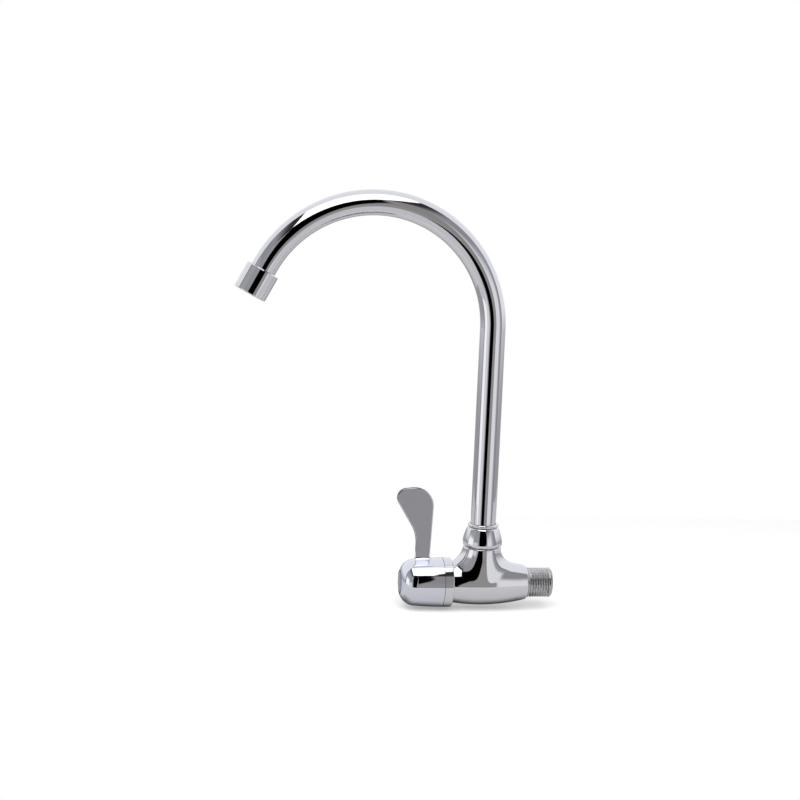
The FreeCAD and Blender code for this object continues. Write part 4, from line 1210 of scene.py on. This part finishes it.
    def dress(self, item: Object, chrome: Material, thread: Material, brass: Material) -> None:
        """Gives the skin its chrome and exact normals, the tail its duller metal, and the bores brass.

        Args:
            item: The casting.
            chrome: Finish of the skin.
            thread: Finish of the threaded tail.
            brass: Finish of the waterways.
        """
        coats = (chrome, thread, brass)
        for material in coats:
            item.data.materials.append(material)
        points = places(item.data.vertices)
        heights = self.height(points)
        for face in item.data.polygons:
            centre = face.center
            on_skin = all(heights[v] > -self.skin for v in face.vertices) or centre.x > -self.land
            bore = math.hypot(centre.y, centre.z) < self.bore
            if centre.x > -self.touch and not bore:
                face.material_index = coats.index(thread)
            elif bore or (not on_skin and centre.z < self.neck_top):
                face.material_index = coats.index(brass)
        smooth_with_creases(item, self.crease)
        slope = self.slope(points)
        slope /= np.linalg.norm(slope, axis=1)[:, None]
        on_skin = (np.abs(heights) < self.shave) & (points[:, 0] < -self.land_normals)
        normals = np.where(on_skin[:, None], slope, 0.0)
        item.data.normals_split_custom_set_from_vertices(normals.tolist())


@dataclass
class SwivelNut(SubAssembly):
    """Round-shouldered hexagon nut whose six faces are softly crowned, with a bead on top.

    Its place is in metres, and its heights and radii are in millimetres.

    Attributes:
        place: The spout's axis along the barrel.
        rows: Heights and corner radii of the outside, from the foot to the groove.
        bead_radius: Radius of the bead.
        bead_foot: Height of the bead's foot.
        bead_step: Degrees from one point of the bead's round to the next.
        top: Height of the nut's top.
        tube_hole: Radius of the hole for the spout.
        thread: Radius of the threaded hollow.
        inside: Radius within which the nut stays round.
        ledge: Height of the ledge over the retaining ring.
        turn: Turn of the first corner from the barrel's axis, in degrees.
        crown: 1 for round faces and 0 for flat ones.
        foot: Height of the nut's foot.
        faces_rise, faces_fall: Heights between which the six faces come out and go again.
        steps: Facets round the nut.
        crease: Angle of a sharp edge, in degrees.
    """

    place: float = -33.0 * MM
    rows: tuple[tuple[float, float], ...] = (
        (26.68, 12.3), (26.76, 12.75), (26.95, 13.15), (27.30, 13.60), (27.75, 14.00), (28.30, 14.32),
        (29.00, 14.50), (30.20, 14.45), (32.00, 14.15), (33.80, 13.68), (36.00, 12.95), (38.00, 12.15),
        (39.40, 11.45), (40.20, 10.95), (40.45, 10.50), (40.55, 9.90),
    )
    bead_radius: float = 10.8
    bead_foot: float = 40.75
    bead_step: int = 15
    top: float = 43.05
    tube_hole: float = 9.25
    thread: float = 10.5
    inside: float = 10.71
    ledge: float = 34.0
    turn: float = -27.4
    crown: float = 0.74
    foot: float = 26.68
    faces_rise: Span = (26.9, 28.6)
    faces_fall: Span = (37.2, 40.2)
    steps: int = 144
    crease: float = 40.0

    def assemble(self, nodes: dict[str, Object], shelf: FinishShelf) -> None:
        """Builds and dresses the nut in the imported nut's place."""
        nut = self.build()
        nut.data.materials.append(shelf.take(CHROME))
        self.hang(nut, Body.TAP, "polished_chrome", "swivel_nut")

    def faceting(self, height: float) -> float:
        """Share of the six faces in the outline at a height: none at the rounded ends."""
        return float(np.interp(height, (*self.faces_rise, *self.faces_fall), (0.0, 1.0, 1.0, 0.0)))

    def build(self) -> Object:
        """Turns the nut and draws its six faces.

        Returns:
            The nut.
        """
        half = (self.top - self.bead_foot) / 2
        bead = [(self.bead_foot + half - half * math.cos(a), self.bead_radius - half + half * math.sin(a))
                for a in (math.radians(v) for v in range(0, 181, self.bead_step))]
        inside = [(self.top, self.tube_hole), (self.ledge, self.tube_hole), (self.ledge, self.thread),
                  (self.foot, self.thread)]
        profile = [(z * MM, r * MM) for z, r in (*self.rows, *bead, *inside)]
        profile.append(profile[0])
        mesh = spun(profile, Vector((0, 0, 1)), Vector((self.place, 0, 0)), self.steps)
        for vertex in mesh.verts:
            x, y, z = vertex.co.x - self.place, vertex.co.y, vertex.co.z
            if math.hypot(x, y) < self.inside * MM:
                continue
            angle = (math.atan2(y, x) - math.radians(self.turn)) % (math.tau / 6) - math.tau / 12
            pull = math.cos(math.pi / 6) / math.cos(angle) - 1.0
            scale = 1.0 + (1.0 - self.crown) * self.faceting(z / MM) * pull
            vertex.co.x, vertex.co.y = self.place + x * scale, y * scale
        nut = new_object("swivel_nut_body", mesh)
        smooth_with_creases(nut, self.crease)
        return nut


@dataclass
class Headwork(SubAssembly):
    """The quarter-turn ceramic headwork inside the barrel."""

    carried: dict[str, Finish] = field(default_factory=lambda: {
        "headwork_body": BRASS, "headwork_gasket": RUBBER, "spindle": BRASS, "spindle_o_rings": RUBBER,
        "spindle_circlip": STEEL, "thrust_washer": SLIP_PLASTIC, "moving_ceramic_disc": MOVING_DISC,
        "fixed_ceramic_disc": FIXED_DISC, "seat_seal": RUBBER,
    })


@dataclass
class LeverHandle(SubAssembly):
    """The collar on the barrel's mouth, the cast lever with its hub, and what closes the hub.

    The paddle flows into the hub over a small hollow flare, which is added here.

    Attributes:
        root: Middle of the paddle's root along and across the barrel.
        root_size: Half the root's length and thickness.
        corner: Radius of the root's corners.
        flare: Radius of the hollow flare.
        rows: Rings of faces in the flare.
        steps: Faces round the flare.
        sink: How far the flare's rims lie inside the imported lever.
        hub_share: Least share of the hub's radius that counts to its outline.
        crease: Angle of a sharp edge, in degrees.
    """

    carried: dict[str, Finish] = field(default_factory=lambda: {
        "shroud_ring": CHROME, "lever_handle": PADDLE, "index_button": CAP, "handle_screw": STEEL,
    })
    root: tuple[float, float] = (-75.9 * MM, 0.0)
    root_size: tuple[float, float] = (5.1 * MM, 1.5 * MM)
    corner: float = 0.7 * MM
    flare: float = 2.3 * MM
    rows: int = 10
    steps: int = 64
    sink: float = 0.04 * MM
    hub_share: float = 0.8
    crease: float = 60.0

    def assemble(self, nodes: dict[str, Object], shelf: FinishShelf) -> None:
        """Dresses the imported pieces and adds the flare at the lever's root."""
        super().assemble(nodes, shelf)
        flare = self.build_flare(nodes["lever_handle"])
        flare.data.materials.append(shelf.take(PADDLE))
        self.hang(flare, Body.HANDLE, "polished_chrome")

    def hub_profile(self, node: Object) -> tuple[np.ndarray, np.ndarray]:
        """Reads the hub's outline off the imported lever.

        Args:
            node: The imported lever.

        Returns:
            Places along the barrel and the hub's radius at each.
        """
        points = places(node.data.vertices)
        points = points[points[:, 2] < 0.0]
        away = np.hypot(points[:, 1], points[:, 2])
        stations = np.round(points[:, 0] / MM, 2) * MM
        along = np.unique(stations)
        widest = np.array([away[stations == station].max() for station in along])
        outer = widest > self.hub_share * widest.max()
        return along[outer], widest[outer]

    def build_flare(self, node: Object) -> Object:
        """Builds the hollow flare between the paddle and the hub.

        The grid's first way runs round the root, and its second from the paddle down to the hub.

        Args:
            node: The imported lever.

        Returns:
            The flare.
        """
        along, radius = self.hub_profile(node)
        mesh = bmesh.new()
        bmesh.ops.create_grid(mesh, x_segments=self.steps, y_segments=self.rows, size=1.0)
        for vertex in mesh.verts:
            turn = (vertex.co.x + 1.0 / self.steps) * math.pi
            angle = (vertex.co.y + 1.0) * math.pi / 4
            reach = self.corner + self.flare * (1 - math.cos(angle)) - self.sink
            lift = self.flare * (1 - math.sin(angle)) - self.sink
            x = math.copysign(self.root_size[0] - self.corner, math.cos(turn)) + reach * math.cos(turn)
            y = math.copysign(self.root_size[1] - self.corner, math.sin(turn)) + reach * math.sin(turn)
            hub = float(np.interp(self.root[0] + x, along, radius))
            vertex.co = (self.root[0] + x, self.root[1] + y, math.sqrt(hub ** 2 - y ** 2) + lift)
        bmesh.ops.remove_doubles(mesh, verts=mesh.verts, dist=MERGE)
        bmesh.ops.recalc_face_normals(mesh, faces=mesh.faces)
        if sum(face.normal.z for face in mesh.faces) < 0:
            bmesh.ops.reverse_faces(mesh, faces=mesh.faces)
        flare = new_object("lever_root_flare", mesh)
        smooth_with_creases(flare, self.crease)
        return flare


@dataclass
class Spout(SubAssembly):
    """The gooseneck tube with its turned ends, and the rings that it swivels between."""

    carried: dict[str, Finish] = field(default_factory=lambda: {
        "spout_tube": CHROME, "spout_tail": BRASS, "spout_o_rings": RUBBER, "outlet_nipple": BRASS,
        "slip_washer": SLIP_PLASTIC, "spout_retaining_ring": BRASS,
    })


@dataclass
class Aerator(SubAssembly):
    """The screwed outlet sleeve with its washer, flow straightener and screen."""

    carried: dict[str, Finish] = field(default_factory=lambda: {
        "aerator_housing": CHROME, "aerator_washer": RUBBER, "aerator_insert": AERATOR_PLASTIC,
        "aerator_screen": STEEL,
    })


def main(frame: dict) -> None:
    """Builds the studio and then every sub-assembly.
    """
    view = View()
    view.build()
    set_world()
    Softbox().build()
    Floor().build()
    Tent().build(view)
    shelf = FinishShelf(Bench())
    for group in (BodyCasting(), SwivelNut(), Headwork(), LeverHandle(), Spout(), Aerator()):
        group.assemble(frame["nodes"], shelf)
    bpy.context.scene.view_settings.view_transform = "Standard"


if __name__ == "__main__":
    logging.basicConfig(level=logging.INFO, format="%(name)s: %(message)s")
    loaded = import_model()
    main(loaded)
